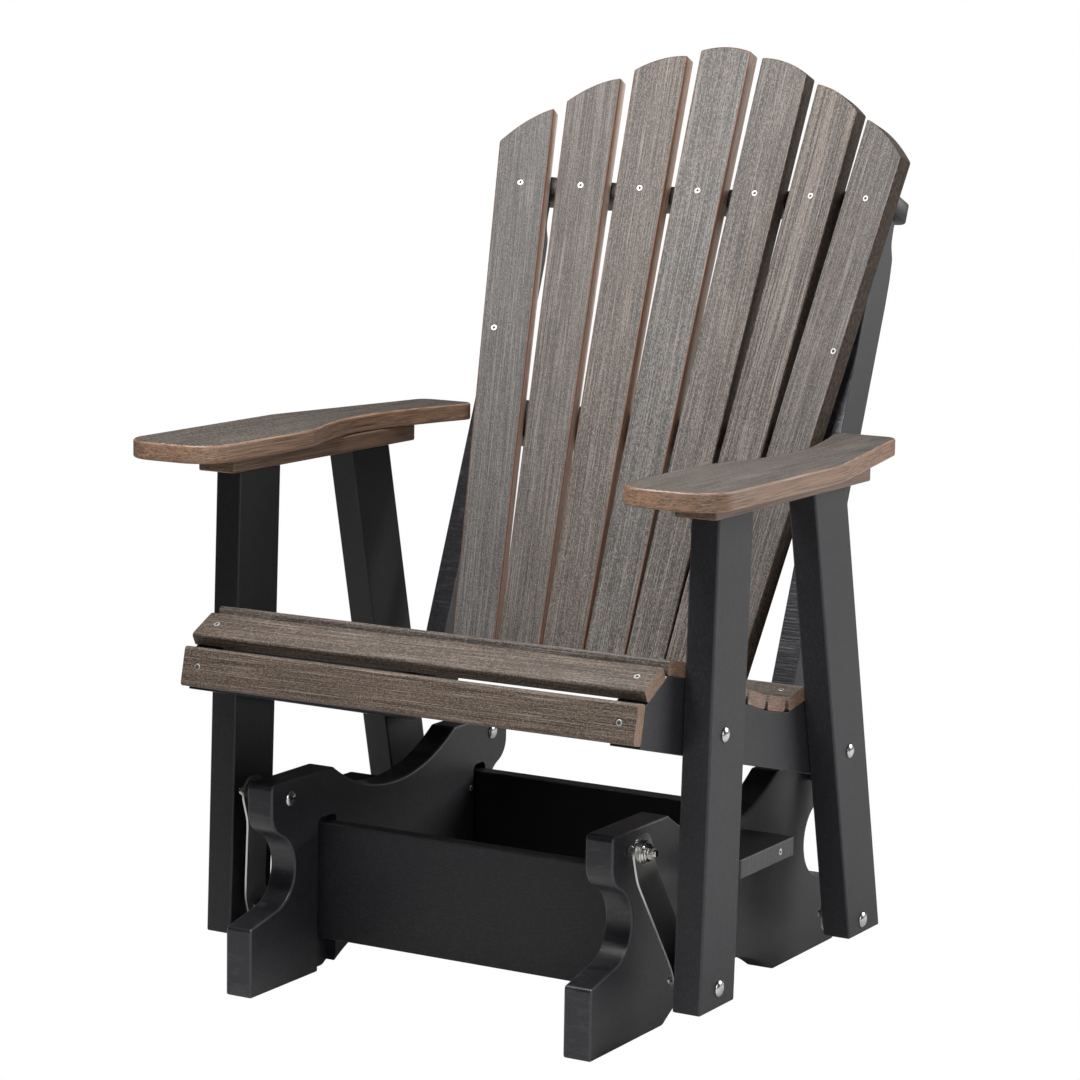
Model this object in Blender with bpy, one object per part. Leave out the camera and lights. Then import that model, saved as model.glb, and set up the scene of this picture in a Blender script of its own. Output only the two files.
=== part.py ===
"""Adirondack glider: a fan-back armchair of plastic lumber that swings on four steel hangers.

+X is the right-hand side seen from the front, -Y is the front and +Z is up. Left and right are the viewer's.
The origin is on the floor under the middle of the whole glider, and everything hangs from one empty
midway between the feet of the base. Lengths are metres, angles are degrees.
"""
import math

import bmesh
import bpy
from mathutils import Matrix, Vector

for leftover in list(bpy.data.objects):
    bpy.data.objects.remove(leftover, do_unlink=True)

# Shared fits and counts
GAP = 0.0003
OVERRUN = 0.004
ROUND_SIDES = 18
HEX_SIDES = 6
ARC_STEPS = 8
EDGE_SEGMENTS = 2
SHARP_ANGLE = 28.0
SMOOTH_ANGLE = 35.0
NUT_SHOULDER_SHARE = 0.7
NUT_COLLAR_SHARE = 0.8
DOME_SHARES = ((0.45, 0.95), (0.94, 0.5), (1.0, 0.25))
SIDES = ((-1, "left"), (1, "right"))

# How far the whole glider reaches more to the rear of its base than to the front, halved
REAR_OVERHANG = 0.07094

# Base side panels: feet, arch, scalloped ends, horns and the scoop between the horns
BASE_INNER_HALF_WIDTH = 0.22682
PANEL_THICKNESS = 0.03442
FOOT_REACH = 0.33223
FOOT_TIP_HEIGHT = 0.0889
ARCH_HALF_WIDTH = 0.16256
ARCH_RISE = 0.0508
SCALLOP_RADIUS = 0.04953
SCALLOP_REACH = 0.28448
SCALLOP_HEIGHT_SHARE = 0.396
HORN_REACH = 0.28702
HORN_CHIN_RADIUS = 0.02007
HORN_CORNER_RADIUS = 0.00762
SCOOP_HALF_WIDTH = 0.14859
SCOOP_DEPTH = 0.04572
PANEL_EDGE_ROUND = 0.0033

# Cross boards of the base and the dados that hold them
CROSS_BOARD_THICKNESS = 0.02286
CROSS_BOARD_FOOT = 0.03937
CROSS_BOARD_TOP = 0.19177
FRONT_BOARD_FACE = 0.1651
REAR_BOARD_FACE = 0.20625
DADO_DEPTH = 0.01016
DADO_TOP = 0.20142
DADO_CORNER_RADIUS = 0.00864
FRONT_DADO_SLACK = 0.01905
REAR_DADO_SLACK = 0.00762

# Stop boards outside the panels
STOP_FRONT_REACH = 0.09271
STOP_REAR_REACH = 0.05842
STOP_WIDTH = 0.06985
STOP_THICKNESS = 0.02413
STOP_HEIGHT = 0.18034
STOP_CORNER_RADIUS = 0.00406

# Hangers and their four pivots on each side
HANGER_LENGTH = 0.17653
HANGER_WIDTH = 0.04572
HANGER_THICKNESS = 0.00305
HANGER_STANDOFF = 0.01651
HANGER_STRAIGHT = 0.02921
HANGER_LEG_GAP = 0.00889
FRONT_PIVOT_REACH = 0.24714
REAR_PIVOT_REACH = 0.2474
PIVOT_HEIGHT = 0.23965
HORN_RISE = 0.02273
FRONT_SWING = 0.05537
REAR_SWING = 0.03327
BEARING_RADIUS = 0.01067
BEARING_FLANGE_RADIUS = 0.0146
BEARING_FLANGE_THICKNESS = 0.00508
PIVOT_BOLT_RADIUS = 0.00476
PIVOT_BOLT_END = 0.00305
PIVOT_HEAD_RADIUS = 0.01016
PIVOT_HEAD_HEIGHT = 0.00483
PIVOT_NUT_RADIUS = 0.00787
PIVOT_NUT_THICKNESS = 0.0066
PIVOT_WASHER_RADIUS = 0.01118
PIVOT_WASHER_THICKNESS = 0.00178
REAR_EYE_RADIUS = 0.01206
REAR_WASHER_RADIUS = 0.01905
REAR_WASHER_THICKNESS = 0.00203

# Seat frame: its pivot as drawn, its legs and its side rails
FRAME_PIVOT_Y = -0.19177
FRAME_PIVOT_Z = 0.07203
LEG_CLEARANCE = 0.05766
LEG_THICKNESS = 0.03772
LEG_FOOT_Z = 0.04775
LEG_TOP_Z = 0.64262
FRONT_LEG_FOOT_Y = -0.23952
FRONT_LEG_TOP_Y = -0.21946
FRONT_LEG_DEPTH = 0.0889
REAR_LEG_FOOT_Y = 0.17678
REAR_LEG_TOP_Y = 0.03632
REAR_LEG_DEPTH = 0.09068
BLACK_EDGE_ROUND = 0.00305
RAIL_THICKNESS = 0.04064
RAIL_SLOPE_START_Y = -0.23114
RAIL_SLOPE_START_Z = 0.35814
RAIL_SLOPE_END_Y = 0.13208
RAIL_SLOPE_DROP = 0.03048
RAIL_REAR_INSET = 0.02032
RAIL_REAR_DROP = 0.02184
FRONT_RAIL_BOLT_Y = -0.19177
FRONT_RAIL_BOLT_Z = 0.381
REAR_RAIL_BOLT_Y = 0.15977
REAR_RAIL_BOLT_CLEARANCE = 0.03632
RAIL_BOLT_RADIUS = 0.00406
RAIL_BOLT_END = 0.00356
RAIL_HEAD_RADIUS = 0.00914
RAIL_HEAD_HEIGHT = 0.00432
RAIL_NUT_RADIUS = 0.00737
RAIL_NUT_THICKNESS = 0.00711

# Seat slats, all of one stock, laid on the rails
SLAT_WIDTH = 0.04953
SLAT_THICKNESS = 0.01829
SLAT_ROUND = 0.00483
SLAT_SPACING = 0.00635
APRON_Y = -0.34963
APRON_Z = 0.39014
APRON_TILT = 77.8
WATERFALL_Y = -0.32512
WATERFALL_Z = 0.45098
WATERFALL_TILT = 26.4
SEAT_START_Y = -0.26518
SEAT_START_Z = 0.47803
SEAT_TILTS = (-13.0, -18.0, -21.0, -21.0, -17.0, -12.0, 9.0)

# Back: the plane of the middle slat's front, and the fan that stands on it
BACK_PLANE_Y = 0.18405
BACK_PLANE_Z = 0.4572
BACK_RECLINE = 21.56
BACK_SLAT_COUNT = 7
BACK_SLAT_THICKNESS = 0.02362
BACK_SLAT_ROUND = 0.00356
BACK_SLAT_FOOT = -0.12065
BACK_SLAT_TOP = 0.77241
BACK_SLAT_FOOT_WIDTH = 0.05898
BACK_SLAT_TOP_WIDTH = 0.07671
BACK_FOOT_PITCH = 0.06012
BACK_TOP_PITCH = 0.09538
BACK_BOW_RADIUS = 1.3335
BACK_ARCH_DROP = 0.15799
INNER_DROP_SHARES = (0.037, 0.089, 0.324, 0.648)
OUTER_DROP_SHARES = (0.037, 0.243, 0.574, 1.0)
SLAT_CROWN_SHARE = 0.08
TOP_STEPS = 6

# Bowed boards behind the back slats, placed along the back plane
BOW_BACK = 0.06756
TOP_RAIL_OVERHANG = 0.00907
TOP_RAIL_FOOT = 0.55296
TOP_RAIL_THICKNESS = 0.0254
TOP_RAIL_CORNER_RADIUS = 0.01905
LOWER_RAIL_FOOT = 0.20828
LOWER_RAIL_THICKNESS = 0.0508
SEAT_BOARD_FOOT = -0.11379
SEAT_BOARD_THICKNESS = 0.02413

# Uprights of the back
UPRIGHT_THICKNESS = 0.0254
UPRIGHT_DEPTH = 0.05918
UPRIGHT_FOOT_DROP = 0.01168
UPRIGHT_NECK_HEIGHT = 0.1143
NECK_HEIGHT_SHARES = (0.0, 0.3, 0.5, 0.58, 0.63, 0.68, 0.8, 1.0)
NECK_DEPTH_SHARES = (1.0, 0.975, 0.92, 0.875, 0.8, 0.74, 0.69, 0.665)

# Arms and the cleats under them
CLEAT_WIDTH = 0.05461
CLEAT_OVERHANG = 0.00889
CLEAT_THICKNESS = 0.02235
CLEAT_FRONT_Y = -0.24638
CLEAT_REAR_Y = 0.17907
ARM_THICKNESS = 0.02286
ARM_ROUND = 0.00508
ARM_FRONT_Y = -0.34544
ARM_REAR_Y = 0.27432
ARM_OUTER_OVERHANG = 0.05994
ARM_INNER_REACH = 0.07849
ARM_CORNER_RADIUS = 0.04699
ARM_BEND_Y = -0.01016
ARM_TAIL_OVERHANG = 0.00533
ARM_TAIL_CORNER_RADIUS = 0.02032
ARM_WAIST_START_Y = -0.11938
ARM_WAIST_DEPTH = 0.03632
WAIST_LENGTH_SHARES = (0.0, 0.08, 0.15, 0.22, 0.3, 0.38, 0.46, 0.54, 0.62, 0.72, 0.85, 0.965, 1.0)
WAIST_DEPTH_SHARES = (0.0, 0.24, 0.5, 0.7, 0.87, 0.97, 1.0, 0.95, 0.83, 0.6, 0.25, -0.08, 0.2)

# Finishes: colour, roughness, metallic
BLACK_LUMBER = ((0.022, 0.022, 0.025), 0.45, 0.0)
BROWN_LUMBER = ((0.13, 0.105, 0.09), 0.6, 0.0)
STEEL = ((0.62, 0.62, 0.62), 0.25, 1.0)


ROOT = bpy.data.objects.new("glider", None)
bpy.context.collection.objects.link(ROOT)
ROOT.location.y = -REAR_OVERHANG


def finish_material(name, finish):
    """A plain Principled material with the piece's colour, roughness and metallic value."""
    colour, roughness, metallic = finish
    material = bpy.data.materials.new(name)
    material.use_nodes = True
    shader = material.node_tree.nodes["Principled BSDF"]
    shader.inputs["Base Color"].default_value = (*colour, 1.0)
    shader.inputs["Roughness"].default_value = roughness
    shader.inputs["Metallic"].default_value = metallic
    material.diffuse_color = (*colour, 1.0)
    return material


def add_object(name, bm, finish, parent=None, matrix=None):
    """Make a named object of a mesh, under a parent and at a place in the parent's space."""
    bmesh.ops.recalc_face_normals(bm, faces=bm.faces)
    mesh = bpy.data.meshes.new(name)
    bm.to_mesh(mesh)
    bm.free()
    mesh.shade_smooth()
    mesh.set_sharp_from_angle(angle=math.radians(SMOOTH_ANGLE))
    if finish:
        mesh.materials.append(finish_material(name, finish))
    piece = bpy.data.objects.new(name, mesh)
    bpy.context.collection.objects.link(piece)
    piece.parent = parent or ROOT
    if matrix:
        piece.matrix_local = matrix
    return piece


def add_empty(name, location):
    """An empty on a joint's axis, which carries the pieces that turn there."""
    empty = bpy.data.objects.new(name, None)
    bpy.context.collection.objects.link(empty)
    empty.parent = ROOT
    empty.location = location
    return empty


def cut(piece, cutter_name, bm, parent, matrix):
    """Subtract a mesh of separate plugs from a piece, and keep the cutter as a hidden guide."""
    cutter = add_object(cutter_name, bm, None, parent, matrix)
    cutter.hide_render = True
    cutter.display_type = "WIRE"
    modifier = piece.modifiers.new(cutter_name, "BOOLEAN")
    modifier.operation = "DIFFERENCE"
    modifier.solver = "EXACT"
    modifier.object = cutter


def axes_matrix(origin, u, v, w):
    """A right-handed frame: outline points run along u and v, and thickness along w."""
    rows = (
        (u[0], v[0], w[0], origin[0]),
        (u[1], v[1], w[1], origin[1]),
        (u[2], v[2], w[2], origin[2]),
        (0.0, 0.0, 0.0, 1.0),
    )
    return Matrix(rows)


def side_view(x):
    """A frame for outlines drawn in the side view, extruded towards +X from x."""
    return axes_matrix((x, 0, 0), (0, 1, 0), (0, 0, 1), (1, 0, 0))


def near_x(side, inner, thickness):
    """The smaller x of a board that stands from inner outwards on one side of the glider."""
    return inner if side > 0 else -(inner + thickness)


def plan_view(z):
    """A frame for outlines drawn in plan, extruded upwards from z."""
    return Matrix.Translation((0, 0, z))


def arc(centre, radius, start, end, steps=ARC_STEPS):
    """Points on an arc from the start angle to the end angle, both included."""
    angles = [math.radians(start + (end - start) * step / steps) for step in range(steps + 1)]
    return [(centre[0] + radius * math.cos(a), centre[1] + radius * math.sin(a)) for a in angles]


def mirrored(outline):
    """The outline with u reversed, in an order that keeps it running the same way round."""
    return [(-u, v) for u, v in reversed(outline)]


def sharp_edges(bm):
    """The edges at real corners."""
    least = math.radians(SHARP_ANGLE)
    return [edge for edge in bm.edges if len(edge.link_faces) == 2 and edge.calc_face_angle(0.0) >= least]


def extruded(outline, thickness, rounding=0.0):
    """A board: an outline in u and v, as thick as given along w, with its corners rounded."""
    bm = bmesh.new()
    face = bm.faces.new([bm.verts.new((u, v, 0)) for u, v in outline])
    lifted = bmesh.ops.extrude_face_region(bm, geom=[face])["geom"]
    corners = [item for item in lifted if isinstance(item, bmesh.types.BMVert)]
    bmesh.ops.translate(bm, vec=(0, 0, thickness), verts=corners)
    bmesh.ops.recalc_face_normals(bm, faces=bm.faces)
    if rounding > 0:
        bmesh.ops.bevel(bm, geom=sharp_edges(bm), offset=rounding, affect="EDGES", segments=EDGE_SEGMENTS,
                        profile=0.5, material=-1, clamp_overlap=True)
    return bm


def turned(profile, sides=ROUND_SIDES):
    """A turned piece about +Z from (radius, height) points, each end closed on the axis or as a ring."""
    bm = bmesh.new()
    verts = [bm.verts.new((radius, 0, height)) for radius, height in profile]
    closed = profile[0][0] > 0
    pairs = list(zip(verts, verts[1:]))
    if closed:
        pairs.append((verts[-1], verts[0]))
    edges = [bm.edges.new(pair) for pair in pairs]
    bmesh.ops.spin(bm, geom=verts + edges, cent=(0, 0, 0), axis=(0, 0, 1), angle=math.tau, steps=sides,
                   use_merge=True)
    bmesh.ops.remove_doubles(bm, verts=bm.verts, dist=GAP / ROUND_SIDES)
    bmesh.ops.recalc_face_normals(bm, faces=bm.faces)
    return bm


def grouped(shapes):
    """One mesh of several separate bodies, from (mesh, place) pairs."""
    group = bmesh.new()
    for shape, place in shapes:
        shape.transform(place)
        scratch = bpy.data.meshes.new("scratch")
        shape.to_mesh(scratch)
        shape.free()
        group.from_mesh(scratch)
        bpy.data.meshes.remove(scratch)
    return group


def along_x(x, y, z, outward):
    """A frame for turned pieces whose axis lies along X: +Z of the piece points outward."""
    turn = Matrix.Rotation(math.radians(90 * outward), 4, "Y")
    return Matrix.Translation((x, y, z)) @ turn


def plug(radius, low, high, sides=ROUND_SIDES):
    """A plain round plug about +Z, for pins and for cutting holes."""
    return turned([(0, low), (radius, low), (radius, high), (0, high)], sides)


def stack(rows):
    """A bolt with its head, washers and nut in one: (height, radius, hexagonal) rows about +Z."""
    bm = bmesh.new()
    rings = []
    for height, radius, hexagonal in rows:
        verts = []
        for step in range(ROUND_SIDES):
            angle = math.tau * step / ROUND_SIDES
            reach = radius
            if hexagonal:
                off_flat = (angle + math.pi / HEX_SIDES) % (math.tau / HEX_SIDES) - math.pi / HEX_SIDES
                reach *= math.cos(math.pi / HEX_SIDES) / math.cos(off_flat)
            verts.append(bm.verts.new((reach * math.cos(angle), reach * math.sin(angle), height)))
        rings.append(verts)
    for first, second in zip(rings, rings[1:]):
        for step in range(ROUND_SIDES):
            after = (step + 1) % ROUND_SIDES
            bm.faces.new((first[step], first[after], second[after], second[step]))
    bm.faces.new(rings[0])
    bm.faces.new(rings[-1])
    return bm


def dome_rows(radius, height):
    """The rows of a dome head that stands below zero, its flat side the fit's gap off the board."""
    return [(-height * up, radius * across, False) for across, up in DOME_SHARES] + [(-GAP, radius, False)]


def washer_rows(start, end, radius, shank):
    """The rows of a washer on a shank."""
    return [(start, shank, False), (start, radius, False), (end, radius, False), (end, shank, False)]


def nut_rows(start, end, radius, shank):
    """The rows of a lock nut on a shank: a hexagon drawn in to a collar."""
    shoulder = start + NUT_SHOULDER_SHARE * (end - start)
    return [
        (start, shank, False),
        (start, radius, True),
        (shoulder, radius, True),
        (end, radius * NUT_COLLAR_SHARE, False),
        (end, shank, False),
    ]


# Base

PANEL_OUTER = BASE_INNER_HALF_WIDTH + PANEL_THICKNESS
HORN_HEIGHT = PIVOT_HEIGHT + HORN_RISE
SCALLOP_HEIGHT = FOOT_TIP_HEIGHT + SCALLOP_HEIGHT_SHARE * (PIVOT_HEIGHT - FOOT_TIP_HEIGHT)


def rear_half_of_panel():
    """The outline from the crown of the arch round the rear foot and horn to the scoop's lowest point."""
    arch_radius = (ARCH_HALF_WIDTH ** 2 + ARCH_RISE ** 2) / (2 * ARCH_RISE)
    arch_sweep = math.degrees(math.asin(ARCH_HALF_WIDTH / arch_radius))
    points = arc((0, ARCH_RISE - arch_radius), arch_radius, 90, 90 - arch_sweep)
    points.append((FOOT_REACH, 0))
    points.append((FOOT_REACH, FOOT_TIP_HEIGHT))
    tip = Vector((FOOT_REACH - SCALLOP_REACH, FOOT_TIP_HEIGHT - SCALLOP_HEIGHT))
    tangent = math.degrees(math.atan2(tip.y, tip.x) - math.acos(SCALLOP_RADIUS / tip.length))
    chin_y = HORN_REACH - HORN_CHIN_RADIUS
    chin_rise = math.sqrt((SCALLOP_RADIUS + HORN_CHIN_RADIUS) ** 2 - (chin_y - SCALLOP_REACH) ** 2)
    meeting = math.degrees(math.atan2(chin_rise, chin_y - SCALLOP_REACH))
    scallop = (SCALLOP_REACH, SCALLOP_HEIGHT)
    points += arc(scallop, SCALLOP_RADIUS, tangent, meeting - 360, 2 * ARC_STEPS)
    chin = (chin_y, SCALLOP_HEIGHT + chin_rise)
    points += arc(chin, HORN_CHIN_RADIUS, meeting - 180, 0)[1:]
    corner = (HORN_REACH - HORN_CORNER_RADIUS, HORN_HEIGHT - HORN_CORNER_RADIUS)
    points += arc(corner, HORN_CORNER_RADIUS, 0, 90, 4)
    scoop_radius = (SCOOP_HALF_WIDTH ** 2 + SCOOP_DEPTH ** 2) / (2 * SCOOP_DEPTH)
    scoop_sweep = math.degrees(math.asin(SCOOP_HALF_WIDTH / scoop_radius))
    scoop_centre = (0, HORN_HEIGHT - SCOOP_DEPTH + scoop_radius)
    points += arc(scoop_centre, scoop_radius, scoop_sweep - 90, -90)
    return points


def panel_outline():
    rear = rear_half_of_panel()
    front = [(-y, z) for y, z in reversed(rear[1:-1])]
    return rear + front


def dado_outline(near, far):
    """A slot open at the foot of the panel, round at the top as the router leaves it."""
    radius = DADO_CORNER_RADIUS
    points = [(near, -OVERRUN), (far, -OVERRUN)]
    points += arc((far - radius, DADO_TOP - radius), radius, 0, 90, 4)
    points += arc((near + radius, DADO_TOP - radius), radius, 90, 180, 4)
    return points


# The outline of each dado, and the places of pivots and screws in the side view
FRONT_DADO = dado_outline(-FRONT_BOARD_FACE - FRONT_DADO_SLACK,
                          -FRONT_BOARD_FACE + CROSS_BOARD_THICKNESS + GAP)
REAR_DADO = dado_outline(REAR_BOARD_FACE - REAR_DADO_SLACK,
                         REAR_BOARD_FACE + CROSS_BOARD_THICKNESS + GAP)
BASE_PIVOTS = ((-FRONT_PIVOT_REACH, PIVOT_HEIGHT), (REAR_PIVOT_REACH, PIVOT_HEIGHT))
LEG_INNER = PANEL_OUTER + LEG_CLEARANCE
STOP_FACE = PANEL_OUTER + GAP + STOP_WIDTH


def build_side_panel(side, name):
    """One horned side panel with its dados and the holes of its two pivots."""
    piece = add_object(name, extruded(panel_outline(), PANEL_THICKNESS, PANEL_EDGE_ROUND), BLACK_LUMBER,
                       None, side_view(near_x(side, BASE_INNER_HALF_WIDTH, PANEL_THICKNESS)))
    dado_x = near_x(side, BASE_INNER_HALF_WIDTH - OVERRUN, DADO_DEPTH + OVERRUN)
    shapes = []
    for outline in (FRONT_DADO, REAR_DADO):
        shapes.append((extruded(outline, DADO_DEPTH + OVERRUN), side_view(dado_x)))
    for y, z in BASE_PIVOTS:
        hole = plug(PIVOT_BOLT_RADIUS + GAP, -OVERRUN, PANEL_THICKNESS + OVERRUN)
        shapes.append((hole, along_x(side * BASE_INNER_HALF_WIDTH, y, z, side)))
    cut(piece, name + "_cutter", grouped(shapes), None, None)


def build_cross_board(name, face_y):
    """A cross board on edge, its ends let into the dados of both panels."""
    reach = BASE_INNER_HALF_WIDTH + DADO_DEPTH - GAP
    outline = [
        (-reach, CROSS_BOARD_FOOT),
        (reach, CROSS_BOARD_FOOT),
        (reach, CROSS_BOARD_TOP),
        (-reach, CROSS_BOARD_TOP),
    ]
    place = axes_matrix((0, face_y + CROSS_BOARD_THICKNESS, 0), (1, 0, 0), (0, 0, 1), (0, -1, 0))
    add_object(name, extruded(outline, CROSS_BOARD_THICKNESS, BLACK_EDGE_ROUND), BLACK_LUMBER, None, place)


def build_stop_board(side, name):
    """A flat board outside a panel, its outer corners round in plan."""
    radius = STOP_CORNER_RADIUS
    inner = PANEL_OUTER + GAP
    outline = [(inner, -STOP_FRONT_REACH)]
    outline += arc((STOP_FACE - radius, radius - STOP_FRONT_REACH), radius, -90, 0, 4)
    outline += arc((STOP_FACE - radius, STOP_REAR_REACH - radius), radius, 0, 90, 4)
    outline.append((inner, STOP_REAR_REACH))
    if side < 0:
        outline = mirrored(outline)
    board = extruded(outline, STOP_THICKNESS, BLACK_EDGE_ROUND)
    add_object(name, board, BLACK_LUMBER, None, plan_view(STOP_HEIGHT))


def build_upper_pivot(side, name, y):
    """A bolt through a horn: dome head inside, then spacer, the hanger's place, washer and nut outside."""
    face = PANEL_THICKNESS
    shank = PIVOT_BOLT_RADIUS
    spacer_end = face + HANGER_STANDOFF - GAP
    flange_end = spacer_end + GAP + HANGER_THICKNESS + GAP + BEARING_FLANGE_THICKNESS
    washer_end = flange_end + GAP + PIVOT_WASHER_THICKNESS
    nut_end = washer_end + PIVOT_NUT_THICKNESS
    rows = dome_rows(PIVOT_HEAD_RADIUS, PIVOT_HEAD_HEIGHT)
    rows.append((-GAP, shank, False))
    rows += nut_rows(face + GAP, spacer_end - PIVOT_WASHER_THICKNESS, PIVOT_NUT_RADIUS, shank)[:-2]
    rows.append((spacer_end - PIVOT_WASHER_THICKNESS, PIVOT_NUT_RADIUS, True))
    rows += washer_rows(spacer_end - PIVOT_WASHER_THICKNESS, spacer_end, PIVOT_WASHER_RADIUS, shank)[1:]
    rows += washer_rows(flange_end + GAP, washer_end, PIVOT_WASHER_RADIUS, shank)[:-1]
    rows += nut_rows(washer_end, nut_end, PIVOT_NUT_RADIUS, shank)[1:]
    rows.append((nut_end + PIVOT_BOLT_END, shank, False))
    place = along_x(side * BASE_INNER_HALF_WIDTH, y, PIVOT_HEIGHT, side)
    add_object(name, stack(rows), STEEL, None, place)


for side, side_name in SIDES:
    build_side_panel(side, "base_" + side_name + "_side")
    build_stop_board(side, side_name + "_stop_board")
    build_upper_pivot(side, "front_" + side_name + "_upper_pivot", -FRONT_PIVOT_REACH)
    build_upper_pivot(side, "rear_" + side_name + "_upper_pivot", REAR_PIVOT_REACH)
build_cross_board("base_front_board", -FRONT_BOARD_FACE)
build_cross_board("base_rear_board", REAR_BOARD_FACE)

# Hangers

STRAP_UPPER_X = PANEL_OUTER + HANGER_STANDOFF
STRAP_LOWER_X = LEG_INNER - HANGER_LEG_GAP - HANGER_THICKNESS


def strap_shape(side):
    """A strap hanging straight down from its upper pivot, bent outwards between two straight ends."""
    radius = HANGER_WIDTH / 2
    outline = arc((0, -HANGER_LENGTH), radius, 180, 360) + arc((0, 0), radius, 0, 180)
    bm = extruded(outline, HANGER_THICKNESS)
    bm.transform(side_view(0))
    bend_start = -HANGER_STRAIGHT
    bend_end = HANGER_STRAIGHT - HANGER_LENGTH
    for height in (bend_start, bend_end):
        parts = bm.verts[:] + bm.edges[:] + bm.faces[:]
        bmesh.ops.bisect_plane(bm, geom=parts, plane_co=(0, 0, height), plane_no=(0, 0, 1))
    for vert in bm.verts:
        share = min(max((vert.co.z - bend_start) / (bend_end - bend_start), 0.0), 1.0)
        vert.co.x = side * (vert.co.x + STRAP_UPPER_X + share * (STRAP_LOWER_X - STRAP_UPPER_X))
    return bm


def build_hanger(side, name, pivot_y, swing, lower_eye):
    """A strap and its bearings under an empty on the upper pivot, tilted as it rests.

    The rear straps have a wide lower eye without a bearing, in which the frame's bolt can shift a little.
    """
    pivot = add_empty(name + "_pivot", (0, pivot_y, PIVOT_HEIGHT))
    pivot.rotation_euler.x = math.asin(swing / HANGER_LENGTH)
    strap = add_object(name, strap_shape(side), STEEL, pivot)
    upper_inside = along_x(side * STRAP_UPPER_X, 0, 0, side)
    lower_outside = along_x(side * (STRAP_LOWER_X + HANGER_THICKNESS), 0, -HANGER_LENGTH, -side)
    eyes = [
        (plug(BEARING_RADIUS + GAP, -OVERRUN, HANGER_THICKNESS + OVERRUN), upper_inside),
        (plug(lower_eye, -OVERRUN, HANGER_THICKNESS + OVERRUN), lower_outside),
    ]
    cut(strap, name + "_cutter", grouped(eyes), pivot, None)
    add_object(name.replace("hanger", "upper_bearing"), bearing(), STEEL, pivot, upper_inside)
    if lower_eye < REAR_EYE_RADIUS:
        add_object(name.replace("hanger", "lower_bearing"), bearing(), STEEL, pivot, lower_outside)


def bearing():
    """A flanged bearing: its sleeve fills a strap's eye and its flange lies on the far face."""
    bore = PIVOT_BOLT_RADIUS + GAP
    far_face = HANGER_THICKNESS + GAP
    profile = [
        (bore, 0),
        (BEARING_RADIUS, 0),
        (BEARING_RADIUS, far_face),
        (BEARING_FLANGE_RADIUS, far_face),
        (BEARING_FLANGE_RADIUS, far_face + BEARING_FLANGE_THICKNESS),
        (bore, far_face + BEARING_FLANGE_THICKNESS),
    ]
    return turned(profile)


for side, side_name in SIDES:
    front_eye = BEARING_RADIUS + GAP
    build_hanger(side, "front_" + side_name + "_hanger", -FRONT_PIVOT_REACH, FRONT_SWING, front_eye)
    build_hanger(side, "rear_" + side_name + "_hanger", REAR_PIVOT_REACH, -REAR_SWING, REAR_EYE_RADIUS)

# Seat frame: its pieces are drawn where they rest and hang from an empty on the front lower pivots

FRONT_DROP = math.sqrt(HANGER_LENGTH ** 2 - FRONT_SWING ** 2)
REAR_DROP = math.sqrt(HANGER_LENGTH ** 2 - REAR_SWING ** 2)
FRAME = add_empty("seat_frame_pivot", (0, FRONT_SWING - FRONT_PIVOT_REACH, PIVOT_HEIGHT - FRONT_DROP))
FRAME_SPACE = Matrix.Translation((0, -FRAME_PIVOT_Y, -FRAME_PIVOT_Z))
FRAME_PIVOTS = (
    (FRAME_PIVOT_Y, FRAME_PIVOT_Z),
    (FRAME_PIVOT_Y + FRONT_PIVOT_REACH - FRONT_SWING + REAR_PIVOT_REACH - REAR_SWING,
     FRAME_PIVOT_Z + FRONT_DROP - REAR_DROP),
)
REAR_RAIL_BOLT_Z = FRAME_PIVOT_Z + FRONT_DROP + HORN_RISE + REAR_RAIL_BOLT_CLEARANCE
LEG_OUTER = LEG_INNER + LEG_THICKNESS
RAIL_INNER = LEG_INNER - GAP - RAIL_THICKNESS
UPRIGHT_OUTER = RAIL_INNER - GAP
UPRIGHT_INNER = UPRIGHT_OUTER - UPRIGHT_THICKNESS
RAIL_BOLTS = (
    (FRONT_RAIL_BOLT_Y, FRONT_RAIL_BOLT_Z, RAIL_INNER),
    (REAR_RAIL_BOLT_Y, REAR_RAIL_BOLT_Z, UPRIGHT_INNER),
)


def frame_piece(name, bm, finish, place=Matrix()):
    """A piece of the seat frame at its place in the frame's drawing."""
    return add_object(name, bm, finish, FRAME, FRAME_SPACE @ place)


def frame_cut(piece, shapes):
    """Cut a list of (mesh, place) shapes, no two of which touch, out of a piece of the seat frame."""
    cut(piece, piece.name + "_cutter", grouped(shapes), FRAME, FRAME_SPACE)


# Slats of the seat, in the side view: the corner where each starts, and its tilt

def seat_rows():
    """Names, start corners and tilts of all slats from the apron to the rear of the seat."""
    rows = [("apron_slat", APRON_Y, APRON_Z, math.radians(APRON_TILT))]
    rows.append(("waterfall_slat", WATERFALL_Y, WATERFALL_Z, math.radians(WATERFALL_TILT)))
    y = SEAT_START_Y
    z = SEAT_START_Z
    for number, degrees in enumerate(SEAT_TILTS, 1):
        tilt = math.radians(degrees)
        rows.append(("seat_slat_" + str(number), y, z, tilt))
        y += (SLAT_WIDTH + SLAT_SPACING) * math.cos(tilt)
        z += (SLAT_WIDTH + SLAT_SPACING) * math.sin(tilt)
    return rows


SEAT_ROWS = seat_rows()


def on_slat(row, across, down):
    """The (y, z) point so far across a slat's width and so far down through its thickness."""
    name, y, z, tilt = row
    across_y = across * math.cos(tilt) + down * math.sin(tilt)
    across_z = across * math.sin(tilt) - down * math.cos(tilt)
    return (y + across_y, z + across_z)


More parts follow.
